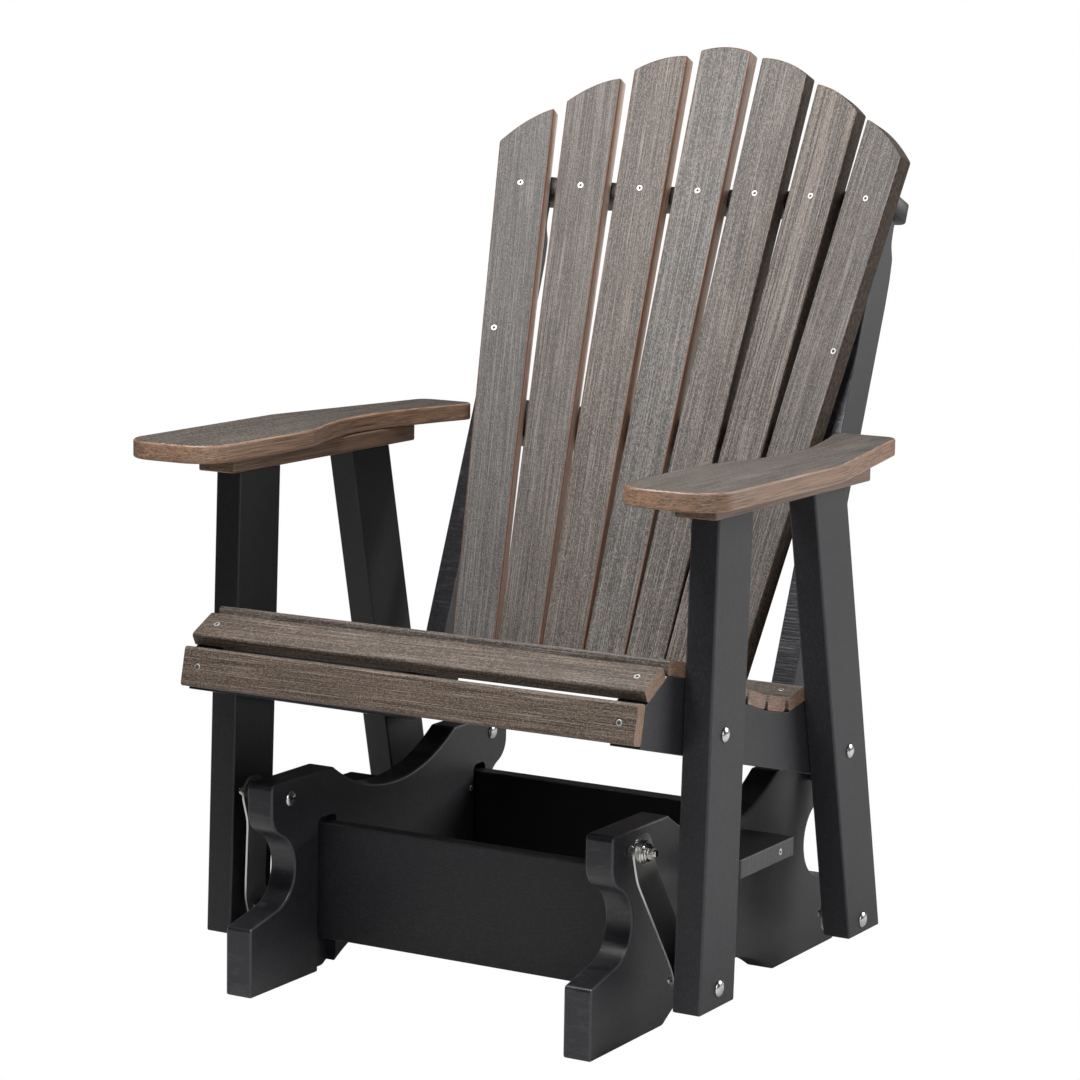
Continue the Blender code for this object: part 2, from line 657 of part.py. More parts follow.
def build_seat_slat(row):
    """A slat of rounded stock, cut square at both ends."""
    name, y, z, tilt = row
    radius = SLAT_ROUND
    outline = arc((radius, -radius), radius, 180, 90, 3)
    outline += arc((SLAT_WIDTH - radius, -radius), radius, 90, 0, 3)
    outline += arc((SLAT_WIDTH - radius, radius - SLAT_THICKNESS), radius, 0, -90, 3)
    outline += arc((radius, radius - SLAT_THICKNESS), radius, 270, 180, 3)
    outline.reverse()
    turn = Matrix.Rotation(tilt, 4, "X")
    place = Matrix.Translation((0, y, z)) @ turn @ side_view(-LEG_INNER)
    frame_piece(name, extruded(outline, 2 * LEG_INNER), BROWN_LUMBER, place)


# Legs and side rails

def leg_outline(foot_y, top_y, depth):
    """A leaning leg with a level foot and top, in the side view."""
    foot = [(foot_y, LEG_FOOT_Z), (foot_y + depth, LEG_FOOT_Z)]
    return foot + [(top_y + depth, LEG_TOP_Z), (top_y, LEG_TOP_Z)]


def leg_bolt_holes(side, pivot, rail_bolt):
    """Clearance holes through a leg for its pivot bolt and its rail bolt."""
    shapes = []
    through = LEG_THICKNESS + OVERRUN
    pivot_place = along_x(side * LEG_OUTER, pivot[0], pivot[1], side)
    shapes.append((plug(PIVOT_BOLT_RADIUS + GAP, -through, OVERRUN), pivot_place))
    rail_place = along_x(side * LEG_OUTER, rail_bolt[0], rail_bolt[1], side)
    shapes.append((plug(RAIL_BOLT_RADIUS + GAP, -through, OVERRUN), rail_place))
    return shapes


def build_leg(side, name, outline, pivot, rail_bolt):
    place = side_view(near_x(side, LEG_INNER, LEG_THICKNESS))
    piece = frame_piece(name, extruded(outline, LEG_THICKNESS, BLACK_EDGE_ROUND), BLACK_LUMBER, place)
    frame_cut(piece, leg_bolt_holes(side, pivot, rail_bolt))


def rear_leg_y(z):
    """The y of the rear leg's front edge at a height."""
    share = (z - LEG_FOOT_Z) / (LEG_TOP_Z - LEG_FOOT_Z)
    return REAR_LEG_FOOT_Y + share * (REAR_LEG_TOP_Y - REAR_LEG_FOOT_Y)


def rail_end(z):
    """The rear end of a side rail at a height, parallel to the rear leg."""
    return (rear_leg_y(z) + REAR_LEG_DEPTH - RAIL_REAR_INSET, z)


def crossing(a, b, c, d):
    """The crossing point of the line through a and b with the line through c and d."""
    first = Vector(b) - Vector(a)
    second = Vector(d) - Vector(c)
    between = Vector(c) - Vector(a)
    share = between.cross(second) / first.cross(second)
    point = Vector(a) + share * first
    return (point.x, point.y)


def rail_outline():
    """A side rail: sloping foot, front end against the apron, top stepped under every slat."""
    under = SLAT_THICKNESS + GAP
    apron_low = on_slat(SEAT_ROWS[0], 0, under)
    apron_high = on_slat(SEAT_ROWS[0], SLAT_WIDTH, under)
    waterfall = [on_slat(SEAT_ROWS[1], across, under) for across in (0, SLAT_WIDTH)]
    slope_start = (RAIL_SLOPE_START_Y, RAIL_SLOPE_START_Z)
    slope_end = (RAIL_SLOPE_END_Y, REAR_RAIL_BOLT_Z - RAIL_SLOPE_DROP)
    points = [crossing(apron_low, apron_high, slope_start, slope_end), slope_end]
    points.append(rail_end(REAR_RAIL_BOLT_Z - RAIL_REAR_DROP))
    top = [crossing(apron_low, apron_high, *waterfall)]
    for row in SEAT_ROWS[2:]:
        top.append(on_slat(row, 0, under))
        top.append(on_slat(row, SLAT_WIDTH, under))
    top.insert(1, waterfall[1])
    points.append(rail_end(top[-1][1]))
    return points + top[::-1]


def build_side_rail(side, name):
    """A side rail inside the legs, drilled for its two bolts."""
    place = side_view(near_x(side, RAIL_INNER, RAIL_THICKNESS))
    piece = frame_piece(name, extruded(rail_outline(), RAIL_THICKNESS), BLACK_LUMBER, place)
    shapes = []
    for y, z, inner in RAIL_BOLTS:
        hole = plug(RAIL_BOLT_RADIUS + GAP, -RAIL_THICKNESS - OVERRUN, OVERRUN)
        shapes.append((hole, along_x(side * (RAIL_INNER + RAIL_THICKNESS), y, z, side)))
    frame_cut(piece, shapes)


for seat_row in SEAT_ROWS:
    build_seat_slat(seat_row)
FRONT_LEG = leg_outline(FRONT_LEG_FOOT_Y, FRONT_LEG_TOP_Y, FRONT_LEG_DEPTH)
REAR_LEG = leg_outline(REAR_LEG_FOOT_Y, REAR_LEG_TOP_Y, REAR_LEG_DEPTH)
for side, side_name in SIDES:
    build_leg(side, "front_" + side_name + "_leg", FRONT_LEG, FRAME_PIVOTS[0], RAIL_BOLTS[0])
    build_leg(side, "rear_" + side_name + "_leg", REAR_LEG, FRAME_PIVOTS[1], RAIL_BOLTS[1])
    build_side_rail(side, side_name + "_seat_rail")

# Back: x across, height up along the middle slat's front, depth behind it

RECLINE = math.radians(BACK_RECLINE)
BACK_UP = Vector((0, math.sin(RECLINE), math.cos(RECLINE)))
BACK_FORWARD = Vector((0, -math.cos(RECLINE), math.sin(RECLINE)))
BACK_ORIGIN = Vector((0, BACK_PLANE_Y, BACK_PLANE_Z))
BACK_SLAT_REACH = BACK_SLAT_TOP - BACK_SLAT_FOOT
HALF_COUNT = BACK_SLAT_COUNT // 2


def pitch_at(height):
    """The distance between the middles of neighbouring slats at a height."""
    share = (height - BACK_SLAT_FOOT) / BACK_SLAT_REACH
    return BACK_FOOT_PITCH + share * (BACK_TOP_PITCH - BACK_FOOT_PITCH)


def half_width_at(height):
    """Half of a slat's width at a height."""
    share = (height - BACK_SLAT_FOOT) / BACK_SLAT_REACH
    return (BACK_SLAT_FOOT_WIDTH + share * (BACK_SLAT_TOP_WIDTH - BACK_SLAT_FOOT_WIDTH)) / 2


def back_slat_frame(k):
    """Slat k's frame: origin at the middle of its foot on the back face, then across, along and forward."""
    bow_x = k * pitch_at(TOP_RAIL_FOOT)
    forward = BACK_BOW_RADIUS - math.sqrt(BACK_BOW_RADIUS ** 2 - bow_x ** 2)
    turn = math.asin(bow_x / BACK_BOW_RADIUS)
    lean = slat_lean(k)
    along = BACK_UP * math.cos(lean) + Vector((math.sin(lean), 0, 0))
    across = Vector((math.cos(lean), 0, 0)) - BACK_UP * math.sin(lean)
    turned_across = across * math.cos(turn) + BACK_FORWARD * math.sin(turn)
    facing = turned_across.cross(along)
    foot = BACK_ORIGIN + BACK_UP * BACK_SLAT_FOOT + BACK_FORWARD * forward
    foot += Vector((k * BACK_FOOT_PITCH, 0, 0)) - facing * BACK_SLAT_THICKNESS
    return axes_matrix(foot, turned_across, along, facing)


def slat_lean(k):
    """The angle of slat k's middle line from the back's middle line."""
    return math.atan2(k * (BACK_TOP_PITCH - BACK_FOOT_PITCH), BACK_SLAT_REACH)


def slat_point(k, u, height):
    """A point u across slat k at a height of the back, in the slat's own (across, along) axes."""
    lean = slat_lean(k)
    return (u, (height - BACK_SLAT_FOOT + u * math.sin(lean)) / math.cos(lean))


def back_slat_outline(k):
    """Slat k: tapered sides and a crowned top that falls away from the middle of the back."""
    drops = [BACK_ARCH_DROP * INNER_DROP_SHARES[abs(k)], BACK_ARCH_DROP * OUTER_DROP_SHARES[abs(k)]]
    if k < 0:
        drops.reverse()
    left_height = BACK_SLAT_TOP - drops[0]
    right_height = BACK_SLAT_TOP - drops[1]
    foot = half_width_at(BACK_SLAT_FOOT)
    left = half_width_at(left_height)
    right = half_width_at(right_height)
    points = [(-foot, 0), (foot, 0)]
    for step in range(TOP_STEPS + 1):
        share = step / TOP_STEPS
        u = right - share * (left + right)
        crown = SLAT_CROWN_SHARE * BACK_SLAT_TOP_WIDTH * share * (1 - share) * 4
        points.append(slat_point(k, u, right_height + share * (left_height - right_height) + crown))
    return points


def build_back_slat(k):
    name = "back_slat_" + str(k + HALF_COUNT + 1)
    slat = extruded(back_slat_outline(k), BACK_SLAT_THICKNESS, BACK_SLAT_ROUND)
    frame_piece(name, slat, BROWN_LUMBER, back_slat_frame(k))


def slat_backs(height):
    """The (x, depth) corners of all slats' back faces at a height, from left to right."""
    corners = []
    for k in range(-HALF_COUNT, HALF_COUNT + 1):
        for u in (-half_width_at(height), half_width_at(height)):
            across, along = slat_point(k, u, height)
            point = back_slat_frame(k) @ Vector((across, along, 0)) - BACK_ORIGIN
            corners.append((point.x, -point.dot(BACK_FORWARD)))
    return corners


def depth_at(corners, x):
    """The depth of the slats' backs at x, between the two corners that stand either side of it."""
    if abs(x) >= corners[-1][0]:
        return corners[-1][1]
    for first, second in zip(corners, corners[1:]):
        if first[0] <= x <= second[0]:
            share = (x - first[0]) / (second[0] - first[0])
            return first[1] + share * (second[1] - first[1])
    return 0.0


def bow_outline(top_height, half_width, corner_radius):
    """A board behind the slats: its front follows their backs, its back is straight with round corners."""
    corners = slat_backs(top_height)
    front = [(-half_width, depth_at(corners, half_width))]
    front += [corner for corner in corners if abs(corner[0]) < half_width]
    front.append((half_width, depth_at(corners, half_width)))
    points = [(x, -depth - GAP) for x, depth in front]
    if corner_radius:
        centre = half_width - corner_radius
        points += arc((centre, corner_radius - BOW_BACK), corner_radius, 0, -90, 4)
        points += arc((-centre, corner_radius - BOW_BACK), corner_radius, 270, 180, 4)
    else:
        points += [(half_width, -BOW_BACK), (-half_width, -BOW_BACK)]
    points.reverse()
    return points


def build_bow_board(name, foot, thickness, half_width, corner_radius=0.0):
    """A bowed board, level from side to side and square to the back."""
    outline = bow_outline(foot + thickness, half_width, corner_radius)
    origin = BACK_ORIGIN + BACK_UP * foot
    place = axes_matrix(origin, (1, 0, 0), BACK_FORWARD, BACK_UP)
    frame_piece(name, extruded(outline, thickness), BLACK_LUMBER, place)


def upright_front():
    """The depth of an upright's front, just behind the outer slats where they come nearest to it."""
    corners = slat_backs(TOP_RAIL_FOOT)
    return depth_at(corners, UPRIGHT_INNER) + GAP


def upright_outline():
    """An upright: level foot, straight front, and a back that narrows under the top rail."""
    front = upright_front()
    back = front + UPRIGHT_DEPTH
    foot_drop = REAR_RAIL_BOLT_Z - UPRIGHT_FOOT_DROP - BACK_PLANE_Z
    foot_front = (foot_drop + front * math.sin(RECLINE)) / math.cos(RECLINE)
    foot_back = (foot_drop + back * math.sin(RECLINE)) / math.cos(RECLINE)
    top = TOP_RAIL_FOOT - GAP
    points = [(front, foot_front), (back, foot_back)]
    for height_share, depth_share in zip(NECK_HEIGHT_SHARES, NECK_DEPTH_SHARES):
        height = top - (1 - height_share) * UPRIGHT_NECK_HEIGHT
        points.append((front + depth_share * UPRIGHT_DEPTH, height))
    points.append((front, top))
    return points


def build_upright(side, name):
    """An upright bolted inside a rail, which carries the top rail on its end."""
    origin = BACK_ORIGIN + Vector((near_x(side, UPRIGHT_INNER, UPRIGHT_THICKNESS), 0, 0))
    place = axes_matrix(origin, -BACK_FORWARD, BACK_UP, (1, 0, 0))
    post = extruded(upright_outline(), UPRIGHT_THICKNESS, BLACK_EDGE_ROUND)
    piece = frame_piece(name, post, BLACK_LUMBER, place)
    hole = plug(RAIL_BOLT_RADIUS + GAP, -OVERRUN, UPRIGHT_THICKNESS + OVERRUN)
    frame_cut(piece, [(hole, along_x(side * UPRIGHT_INNER, REAR_RAIL_BOLT_Y, REAR_RAIL_BOLT_Z, side))])


for slat_number in range(-HALF_COUNT, HALF_COUNT + 1):
    build_back_slat(slat_number)
build_bow_board("rear_seat_board", SEAT_BOARD_FOOT, SEAT_BOARD_THICKNESS, UPRIGHT_INNER - GAP)
build_bow_board("lower_back_rail", LOWER_RAIL_FOOT, LOWER_RAIL_THICKNESS, UPRIGHT_INNER - GAP)
build_bow_board("top_back_rail", TOP_RAIL_FOOT, TOP_RAIL_THICKNESS, UPRIGHT_OUTER + TOP_RAIL_OVERHANG,
                TOP_RAIL_CORNER_RADIUS)
for side, side_name in SIDES:
    build_upright(side, side_name + "_back_upright")

# Arms and the cleats they lie on

CLEAT_FOOT = LEG_TOP_Z + GAP
ARM_FOOT = CLEAT_FOOT + CLEAT_THICKNESS + GAP


def arm_outline():
    """The right arm in plan: broad in front, waisted inside, tapering outside to the tail."""
    radius = ARM_CORNER_RADIUS
    tail = ARM_TAIL_CORNER_RADIUS
    inner = LEG_OUTER - ARM_INNER_REACH
    outer = LEG_OUTER + ARM_OUTER_OVERHANG
    points = arc((inner + radius, ARM_FRONT_Y + radius), radius, 180, 270, 6)
    points += arc((outer - radius, ARM_FRONT_Y + radius), radius, 270, 360, 6)
    points.append((outer, ARM_BEND_Y))
    points += arc((LEG_OUTER + ARM_TAIL_OVERHANG - tail, ARM_REAR_Y - tail), tail, 12, 90, 5)
    waist = list(zip(WAIST_LENGTH_SHARES, WAIST_DEPTH_SHARES))
    for length_share, depth_share in reversed(waist):
        y = ARM_WAIST_START_Y + length_share * (ARM_REAR_Y - ARM_WAIST_START_Y)
        points.append((inner + depth_share * ARM_WAIST_DEPTH, y))
    return points


def build_arm(side, side_name):
    """An arm lying on a cleat, which lies on the ends of two legs."""
    arm = arm_outline()
    if side < 0:
        arm = mirrored(arm)
    board = extruded(arm, ARM_THICKNESS, ARM_ROUND)
    frame_piece(side_name + "_arm", board, BROWN_LUMBER, plan_view(ARM_FOOT))
    near = near_x(side, LEG_OUTER + CLEAT_OVERHANG - CLEAT_WIDTH, CLEAT_WIDTH)
    far = near + CLEAT_WIDTH
    cleat = [(near, CLEAT_FRONT_Y), (far, CLEAT_FRONT_Y), (far, CLEAT_REAR_Y), (near, CLEAT_REAR_Y)]
    board = extruded(cleat, CLEAT_THICKNESS, BLACK_EDGE_ROUND)
    frame_piece(side_name + "_arm_cleat", board, BROWN_LUMBER, plan_view(CLEAT_FOOT))


for side, side_name in SIDES:
    build_arm(side, side_name)

# Hardware of the seat frame

def build_rail_bolt(side, name, y, z, inner):
    """A dome-head bolt through leg and rail, the rear one through the upright too, with its nut inside."""
    board_end = LEG_OUTER - inner
    nut_end = board_end + GAP + RAIL_NUT_THICKNESS
    rows = dome_rows(RAIL_HEAD_RADIUS, RAIL_HEAD_HEIGHT)
    rows.append((-GAP, RAIL_BOLT_RADIUS, False))
    rows += nut_rows(board_end + GAP, nut_end, RAIL_NUT_RADIUS, RAIL_BOLT_RADIUS)
    rows.append((nut_end + RAIL_BOLT_END, RAIL_BOLT_RADIUS, False))
    frame_piece(name, stack(rows), STEEL, along_x(side * LEG_OUTER, y, z, -side))


def build_lower_pivot(side, name, pivot, washer_radius, flange):
    """A bolt through a leg: dome head outside, then washer, the hanger's place, washer and nut inside."""
    shank = PIVOT_BOLT_RADIUS
    strap_start = LEG_THICKNESS + HANGER_LEG_GAP
    inner_start = strap_start + HANGER_THICKNESS + flange + GAP
    inner_end = inner_start + REAR_WASHER_THICKNESS
    nut_end = inner_end + PIVOT_NUT_THICKNESS
    rows = dome_rows(PIVOT_HEAD_RADIUS, PIVOT_HEAD_HEIGHT)
    rows.append((-GAP, shank, False))
    rows += washer_rows(LEG_THICKNESS + GAP, strap_start - GAP, washer_radius, shank)
    rows += washer_rows(inner_start, inner_end, washer_radius, shank)[:-1]
    rows += nut_rows(inner_end, nut_end, PIVOT_NUT_RADIUS, shank)[1:]
    rows.append((nut_end + PIVOT_BOLT_END, shank, False))
    frame_piece(name, stack(rows), STEEL, along_x(side * LEG_OUTER, pivot[0], pivot[1], -side))


for side, side_name in SIDES:
    build_rail_bolt(side, "front_" + side_name + "_rail_bolt", *RAIL_BOLTS[0])
    build_rail_bolt(side, "rear_" + side_name + "_rail_bolt", *RAIL_BOLTS[1])
    front_flange = GAP + BEARING_FLANGE_THICKNESS
    build_lower_pivot(side, "front_" + side_name + "_lower_pivot", FRAME_PIVOTS[0], PIVOT_WASHER_RADIUS,
                      front_flange)
    build_lower_pivot(side, "rear_" + side_name + "_lower_pivot", FRAME_PIVOTS[1], REAR_WASHER_RADIUS, 0)
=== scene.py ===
import math

import bmesh
import bpy
import numpy as np
from mathutils import Matrix, Vector


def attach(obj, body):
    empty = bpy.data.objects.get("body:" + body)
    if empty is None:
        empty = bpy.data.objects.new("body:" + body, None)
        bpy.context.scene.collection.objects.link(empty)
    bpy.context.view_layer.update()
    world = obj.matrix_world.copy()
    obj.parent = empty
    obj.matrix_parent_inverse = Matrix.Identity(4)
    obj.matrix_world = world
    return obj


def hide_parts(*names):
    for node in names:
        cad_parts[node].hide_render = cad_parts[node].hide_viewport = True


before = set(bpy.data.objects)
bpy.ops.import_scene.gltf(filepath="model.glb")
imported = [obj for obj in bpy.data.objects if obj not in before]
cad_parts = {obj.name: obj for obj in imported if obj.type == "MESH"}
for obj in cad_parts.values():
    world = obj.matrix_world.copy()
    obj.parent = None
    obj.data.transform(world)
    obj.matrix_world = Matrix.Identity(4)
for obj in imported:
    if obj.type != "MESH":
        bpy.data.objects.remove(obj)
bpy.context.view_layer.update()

# Base side panels
# Two horned boards of thick black plastic lumber stand on the ground. A router has rounded every edge and
# left the end faces and the scallops shinier than the moulded sides, with fine cutter marks across them.

REAR_OVERHANG = 0.07094
EDGE_SEGMENTS = 4
SHARP_ANGLE = 28.0
SMOOTH_ANGLE = 40.0
EDGE_NORMALS = (0.15, 0.97)
SEED_STEPS = (0.37, 1.71, 0.53)
BLACK_SHADES = ((0.0072, 0.007, 0.0092), (0.038, 0.037, 0.042))
EDGE_HIGHLIGHT_BLACK = (0.085, 0.084, 0.094)
ALONG_U = [1, 0, 2]
ARC_STEPS = 20
CORNER_STEPS = 8
SMALL_STEPS = 6
PANEL_INNER = 0.22301
PANEL_THICKNESS = 0.03823
PANEL_OUTER = PANEL_INNER + PANEL_THICKNESS
PANEL_EDGE = 0.00305
FOOT_REACH = 0.33223
FOOT_TIP = 0.0889
FOOT_CORNER = 0.00559
FOOT_SWEEP = 70
ARCH_HALF = 0.15113
ARCH_RISE = 0.04318
ARCH_CORNER = 0.01524
SCALLOP = (0.28448, 0.14859, 0.04953)
HORN_REACH = 0.28702
HORN_TOP = 0.26238
HORN_CORNER = 0.00762
CHIN_RADIUS = 0.03302
SCOOP_HALF = 0.14859
SCOOP_DEPTH = 0.04572
GAP = 0.0003
OVERRUN = 0.004
DADO_DEPTH = 0.01397
DADO_TOP = 0.20142
DADO_CORNER = 0.00864
DADOS = ((-0.18415, -0.14224), (0.19863, 0.22911))
SIDES = ((-1, "left"), (1, "right"))


class Value:
    """A shader output that takes plain arithmetic with numbers and other outputs."""

    def __init__(self, paint, socket):
        self.paint = paint
        self.socket = socket

    def maths(self, operation, other):
        return self.paint.node("ShaderNodeMath", "Value", {"operation": operation},
                               Value=self, Value_001=other)

    def __add__(self, other):
        return self.maths("ADD", other)

    def __sub__(self, other):
        return self.maths("SUBTRACT", other)

    def __mul__(self, other):
        return self.maths("MULTIPLY", other)

    __radd__ = __add__

    def step(self, low, high):
        """0 below low, 1 above high and a smooth rise between them."""
        return self.paint.node("ShaderNodeMapRange", "Result", {"interpolation_type": "SMOOTHSTEP"},
                               Value=self, From_Min=low, From_Max=high)


def named(sockets, key):
    """The socket with an identifier, or the one in use with that name, where _ stands for a space."""
    name = key.replace("_", " ")
    return [s for s in sockets if s.identifier == key or (s.name == name and s.enabled)][0]


class Paint:
    """A material with a Principled shader and one method that adds nodes."""

    def __init__(self, name):
        self.material = bpy.data.materials.new(name)
        self.material.use_nodes = True
        self.tree = self.material.node_tree
        self.shader = self.tree.nodes["Principled BSDF"]
        self.board = self.attribute("board", "Vector")

    def feed(self, socket, value):
        """Link an output to a socket, or give the socket a number, a vector or a colour."""
        if isinstance(value, Value):
            self.tree.links.new(value.socket, socket)
        elif socket.type == "RGBA":
            socket.default_value = (*value, 1.0)
        else:
            socket.default_value = value

    def node(self, kind, output, settings=None, **inputs):
        """Add a node, set its properties and inputs, and return one of its outputs."""
        node = self.tree.nodes.new(kind)
        for key, value in (settings or {}).items():
            setattr(node, key, value)
        for key, value in inputs.items():
            self.feed(named(node.inputs, key), value)
        return Value(self, named(node.outputs, output))

    def attribute(self, name, output):
        return self.node("ShaderNodeAttribute", output, {"attribute_name": name})

    def tone(self, channel):
        """One colour channel of the board's tone."""
        return self.node("ShaderNodeSeparateColor", channel, Color=self.attribute("tone", "Color"))

    def noise(self, scale, detail=2.0, roughness=0.5, distortion=0.0):
        """Noise of the board's own coordinates, stretched by a scale per axis."""
        stretched = self.node("ShaderNodeVectorMath", "Vector", {"operation": "MULTIPLY"},
                              Vector=self.board, Vector_001=scale)
        return self.node("ShaderNodeTexNoise", "Fac", Vector=stretched, Scale=1.0, Detail=detail,
                         Roughness=roughness, Distortion=distortion)

    def mix(self, share, first, second):
        """A colour between two colours."""
        return self.node("ShaderNodeMix", "Result_Color", {"data_type": "RGBA"},
                         Factor_Float=share, A_Color=first, B_Color=second)

    def dimmed(self, lightness, colour):
        """A colour that nears black as the lightness falls from 1 to 0."""
        return self.mix(lightness, (0.0, 0.0, 0.0), colour)

    def finish(self, **inputs):
        """Feed the Principled shader, and Bump from a height in metres if one is given."""
        height = inputs.pop("height", None)
        if height is not None:
            inputs["Normal"] = self.node("ShaderNodeBump", "Normal", Height=height, Strength=1.0,
                                         Distance=1.0)
        for key, value in inputs.items():
            self.feed(named(self.shader.inputs, key), value)
        return self.material


def black_lumber():
    """Black plastic lumber: moulded faces with a faint grain, shinier routed faces with cutter marks."""
    paint = Paint("black_lumber")
    cut = paint.attribute("cut", "Fac")
    grain = paint.noise((520.0, 160.0, 520.0), 3.0, 0.6)
    pores = paint.noise((760.0, 560.0, 760.0), 2.0, 0.6)
    cloud = paint.noise((9.0, 4.0, 9.0), 3.0, 0.55)
    marks = paint.noise((25.0, 340.0, 25.0), 1.0)
    scuff = paint.noise((90.0, 60.0, 25.0), 4.0, 0.65, 0.6)
    dust = pores.step(0.56, 0.72) * 0.6 + grain.step(0.4, 0.75) * 0.3
    share = dust + cloud * 0.15 + scuff.step(0.5, 0.66) * cut * 0.45
    colour = paint.mix(share, *BLACK_SHADES)
    # The rounded edges are lightened as a painted highlight.
    colour = paint.mix(paint.attribute("edge", "Fac") * 0.3, colour, EDGE_HIGHLIGHT_BLACK)
    # The tone's blue darkens boards that stand in the shade: painted shade.
    colour = paint.dimmed(paint.tone("Blue"), colour)
    moulded = 0.4 + cloud * 0.12 + pores * 0.12
    routed = 0.17 + cloud * 0.1 + marks * 0.12 + scuff * 0.1
    rough = moulded + cut * (routed - moulded)
    height = (grain * 0.00014 + pores * 0.00016) * (1.0 + cut * -0.7) + marks * cut * 0.0003
    return paint.finish(Base_Color=colour, Roughness=rough, Specular_IOR_Level=0.44, height=height)


def black_tone(light):
    """The tone of a black board, of which only the lightness of its faces counts; a lightness below 1 is
    painted shade.
    """
    return (0.5, 0.3, light, 1.0)


def rim_below(limit):
    """A test for the faces of a rim: their normals have less than a limit along the board's thickness."""
    return lambda normal: abs(normal.z) < limit


def narrow_edges(normal):
    """1 on the rounded edges between a board's faces and its rim."""
    return 1.0 if EDGE_NORMALS[0] < abs(normal.z) < EDGE_NORMALS[1] else 0.0


def plain(normal):
    """No edge gets a painted highlight or a burnt line, and no side is darkened."""
    return 0.0


def board_object(name, bm, place, material, order, seed, cut_faces=None, tone=black_tone(1.0),
                 edges=narrow_edges):
    """A piece in the row's frame from a mesh in its board's own axes, with its grain coordinates.

    order names which own axis runs across, along and through the board's grain. cut_faces tells, from a
    face's own normal, whether a saw or router made that face. tone is how brown and how ridged the board
    is, and how light its faces and its core are. edges tells which faces carry an edge mark, 1, a painted
    highlight on black lumber and a burnt line on brown, or are darkened, -1.
    """
    piece = mesh_object(name, bm)
    piece.data.shade_smooth()
    piece.data.set_sharp_from_angle(angle=math.radians(SMOOTH_ANGLE))
    piece.modifiers.new("weigh", "WEIGHTED_NORMAL").keep_sharp = True
    settle(piece)
    paint_board(piece.data, order, seed, cut_faces, tone, edges)
    piece.data.transform(Matrix.Translation((0, -REAR_OVERHANG, 0)) @ place)
    piece.data.materials.append(material)
    return piece


def linked(name, data):
    """A new object of the scene that holds some data."""
    item = bpy.data.objects.new(name, data)
    bpy.context.scene.collection.objects.link(item)
    return item


def mesh_object(name, bm):
    """A new object of the scene from a bmesh, which is freed."""
    mesh = bpy.data.meshes.new(name)
    bm.to_mesh(mesh)
    bm.free()
    return linked(name, mesh)


def settle(piece):
    """Replace a piece's mesh with the result of its modifiers."""
    graph = bpy.context.evaluated_depsgraph_get()
    result = bpy.data.meshes.new_from_object(piece.evaluated_get(graph))
    before = piece.data
    piece.modifiers.clear()
    piece.data = result
    result.name = piece.name
    bpy.data.meshes.remove(before)


def paint_board(mesh, order, seed, cut_faces, tone, edges):
    """Write the board's own coordinates and its tone at its vertices, and which faces are cut or edges."""
    places = np.empty(len(mesh.vertices) * 3, np.float32)
    mesh.vertices.foreach_get("co", places)
    places = places.reshape(-1, 3)[:, order] + np.array([seed * step for step in SEED_STEPS], np.float32)
    tones = np.tile(np.array(tone, np.float32), len(mesh.vertices))
    cuts = [1.0 if cut_faces and cut_faces(face.normal) else 0.0 for face in mesh.polygons]
    marks = [edges(face.normal) for face in mesh.polygons]
    for name, kind, domain, field, values in (
        ("board", "FLOAT_VECTOR", "POINT", "vector", places.ravel()),
        ("tone", "FLOAT_COLOR", "POINT", "color", tones),
        ("cut", "FLOAT", "FACE", "value", cuts),
        ("edge", "FLOAT", "FACE", "value", marks),
    ):
        mesh.attributes.new(name, kind, domain).data.foreach_set(field, values)


def show(node, kind, bm, place, slot, order, seed, body="seat_frame", **looks):
    """Show a board in place of a node, in its slot and on its body."""
    piece = board_object(node + kind, bm, place, LUMBER[slot], order, seed, **looks)
    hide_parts(node)
    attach(piece, body)


def subtract(piece_mesh, cutter_mesh):
    """One mesh minus another, both given as bmesh."""
    for bm in (piece_mesh, cutter_mesh):
        bmesh.ops.recalc_face_normals(bm, faces=bm.faces)
    kept = mesh_object("kept", piece_mesh)
    taken = mesh_object("taken", cutter_mesh)
    modifier = kept.modifiers.new("cut", "BOOLEAN")
    modifier.operation = "DIFFERENCE"
    modifier.solver = "EXACT"
    modifier.object = taken
    settle(kept)
    result = bmesh.new()
    result.from_mesh(kept.data)
    for item in (kept, taken):
        mesh = item.data
        bpy.data.objects.remove(item)
        bpy.data.meshes.remove(mesh)
    return result


def grouped(shapes):
    """One mesh of several (mesh, place) shapes."""
    group = bmesh.new()
    scratch = bpy.data.meshes.new("scratch")
    for shape, place in shapes:
        shape.transform(place)
        shape.to_mesh(scratch)
        shape.free()
        group.from_mesh(scratch)
    bpy.data.meshes.remove(scratch)
    return group


def axes_matrix(origin, u, v, w):
    """A frame whose own axes are u, v and w."""
    return Matrix([(u[i], v[i], w[i], origin[i]) for i in range(3)] + [(0.0, 0.0, 0.0, 1.0)])


def side_view(x):
    """A frame for outlines drawn in the side view, extruded towards +X from x."""
    return axes_matrix((x, 0, 0), (0, 1, 0), (0, 0, 1), (1, 0, 0))


def near_x(side, inner, thickness):
    """The smaller x of a board that stands from inner outwards on one side of the glider."""
    return inner if side > 0 else -(inner + thickness)


def along_x(x, y, z, outward):
    """A frame for turned pieces whose +Z points along X, outward or inward."""
    return Matrix.Translation((x, y, z)) @ Matrix.Rotation(math.radians(90 * outward), 4, "Y")


def arc(centre, radius, start, end, steps=ARC_STEPS):
    """Points on an arc from the start angle to the end angle, both included."""
    angles = [math.radians(start + (end - start) * step / steps) for step in range(steps + 1)]
    return [(centre[0] + radius * math.cos(a), centre[1] + radius * math.sin(a)) for a in angles]


def quarter(tip_u, tip_v, radius, start, steps=CORNER_STEPS):
    """A quarter turn from the start angle on that rounds the corner with this tip."""
    middle = math.radians(start + 45)
    centre_u = tip_u - math.copysign(radius, math.cos(middle))
    centre_v = tip_v - math.copysign(radius, math.sin(middle))
    return arc((centre_u, centre_v), radius, start, start + 90, steps)


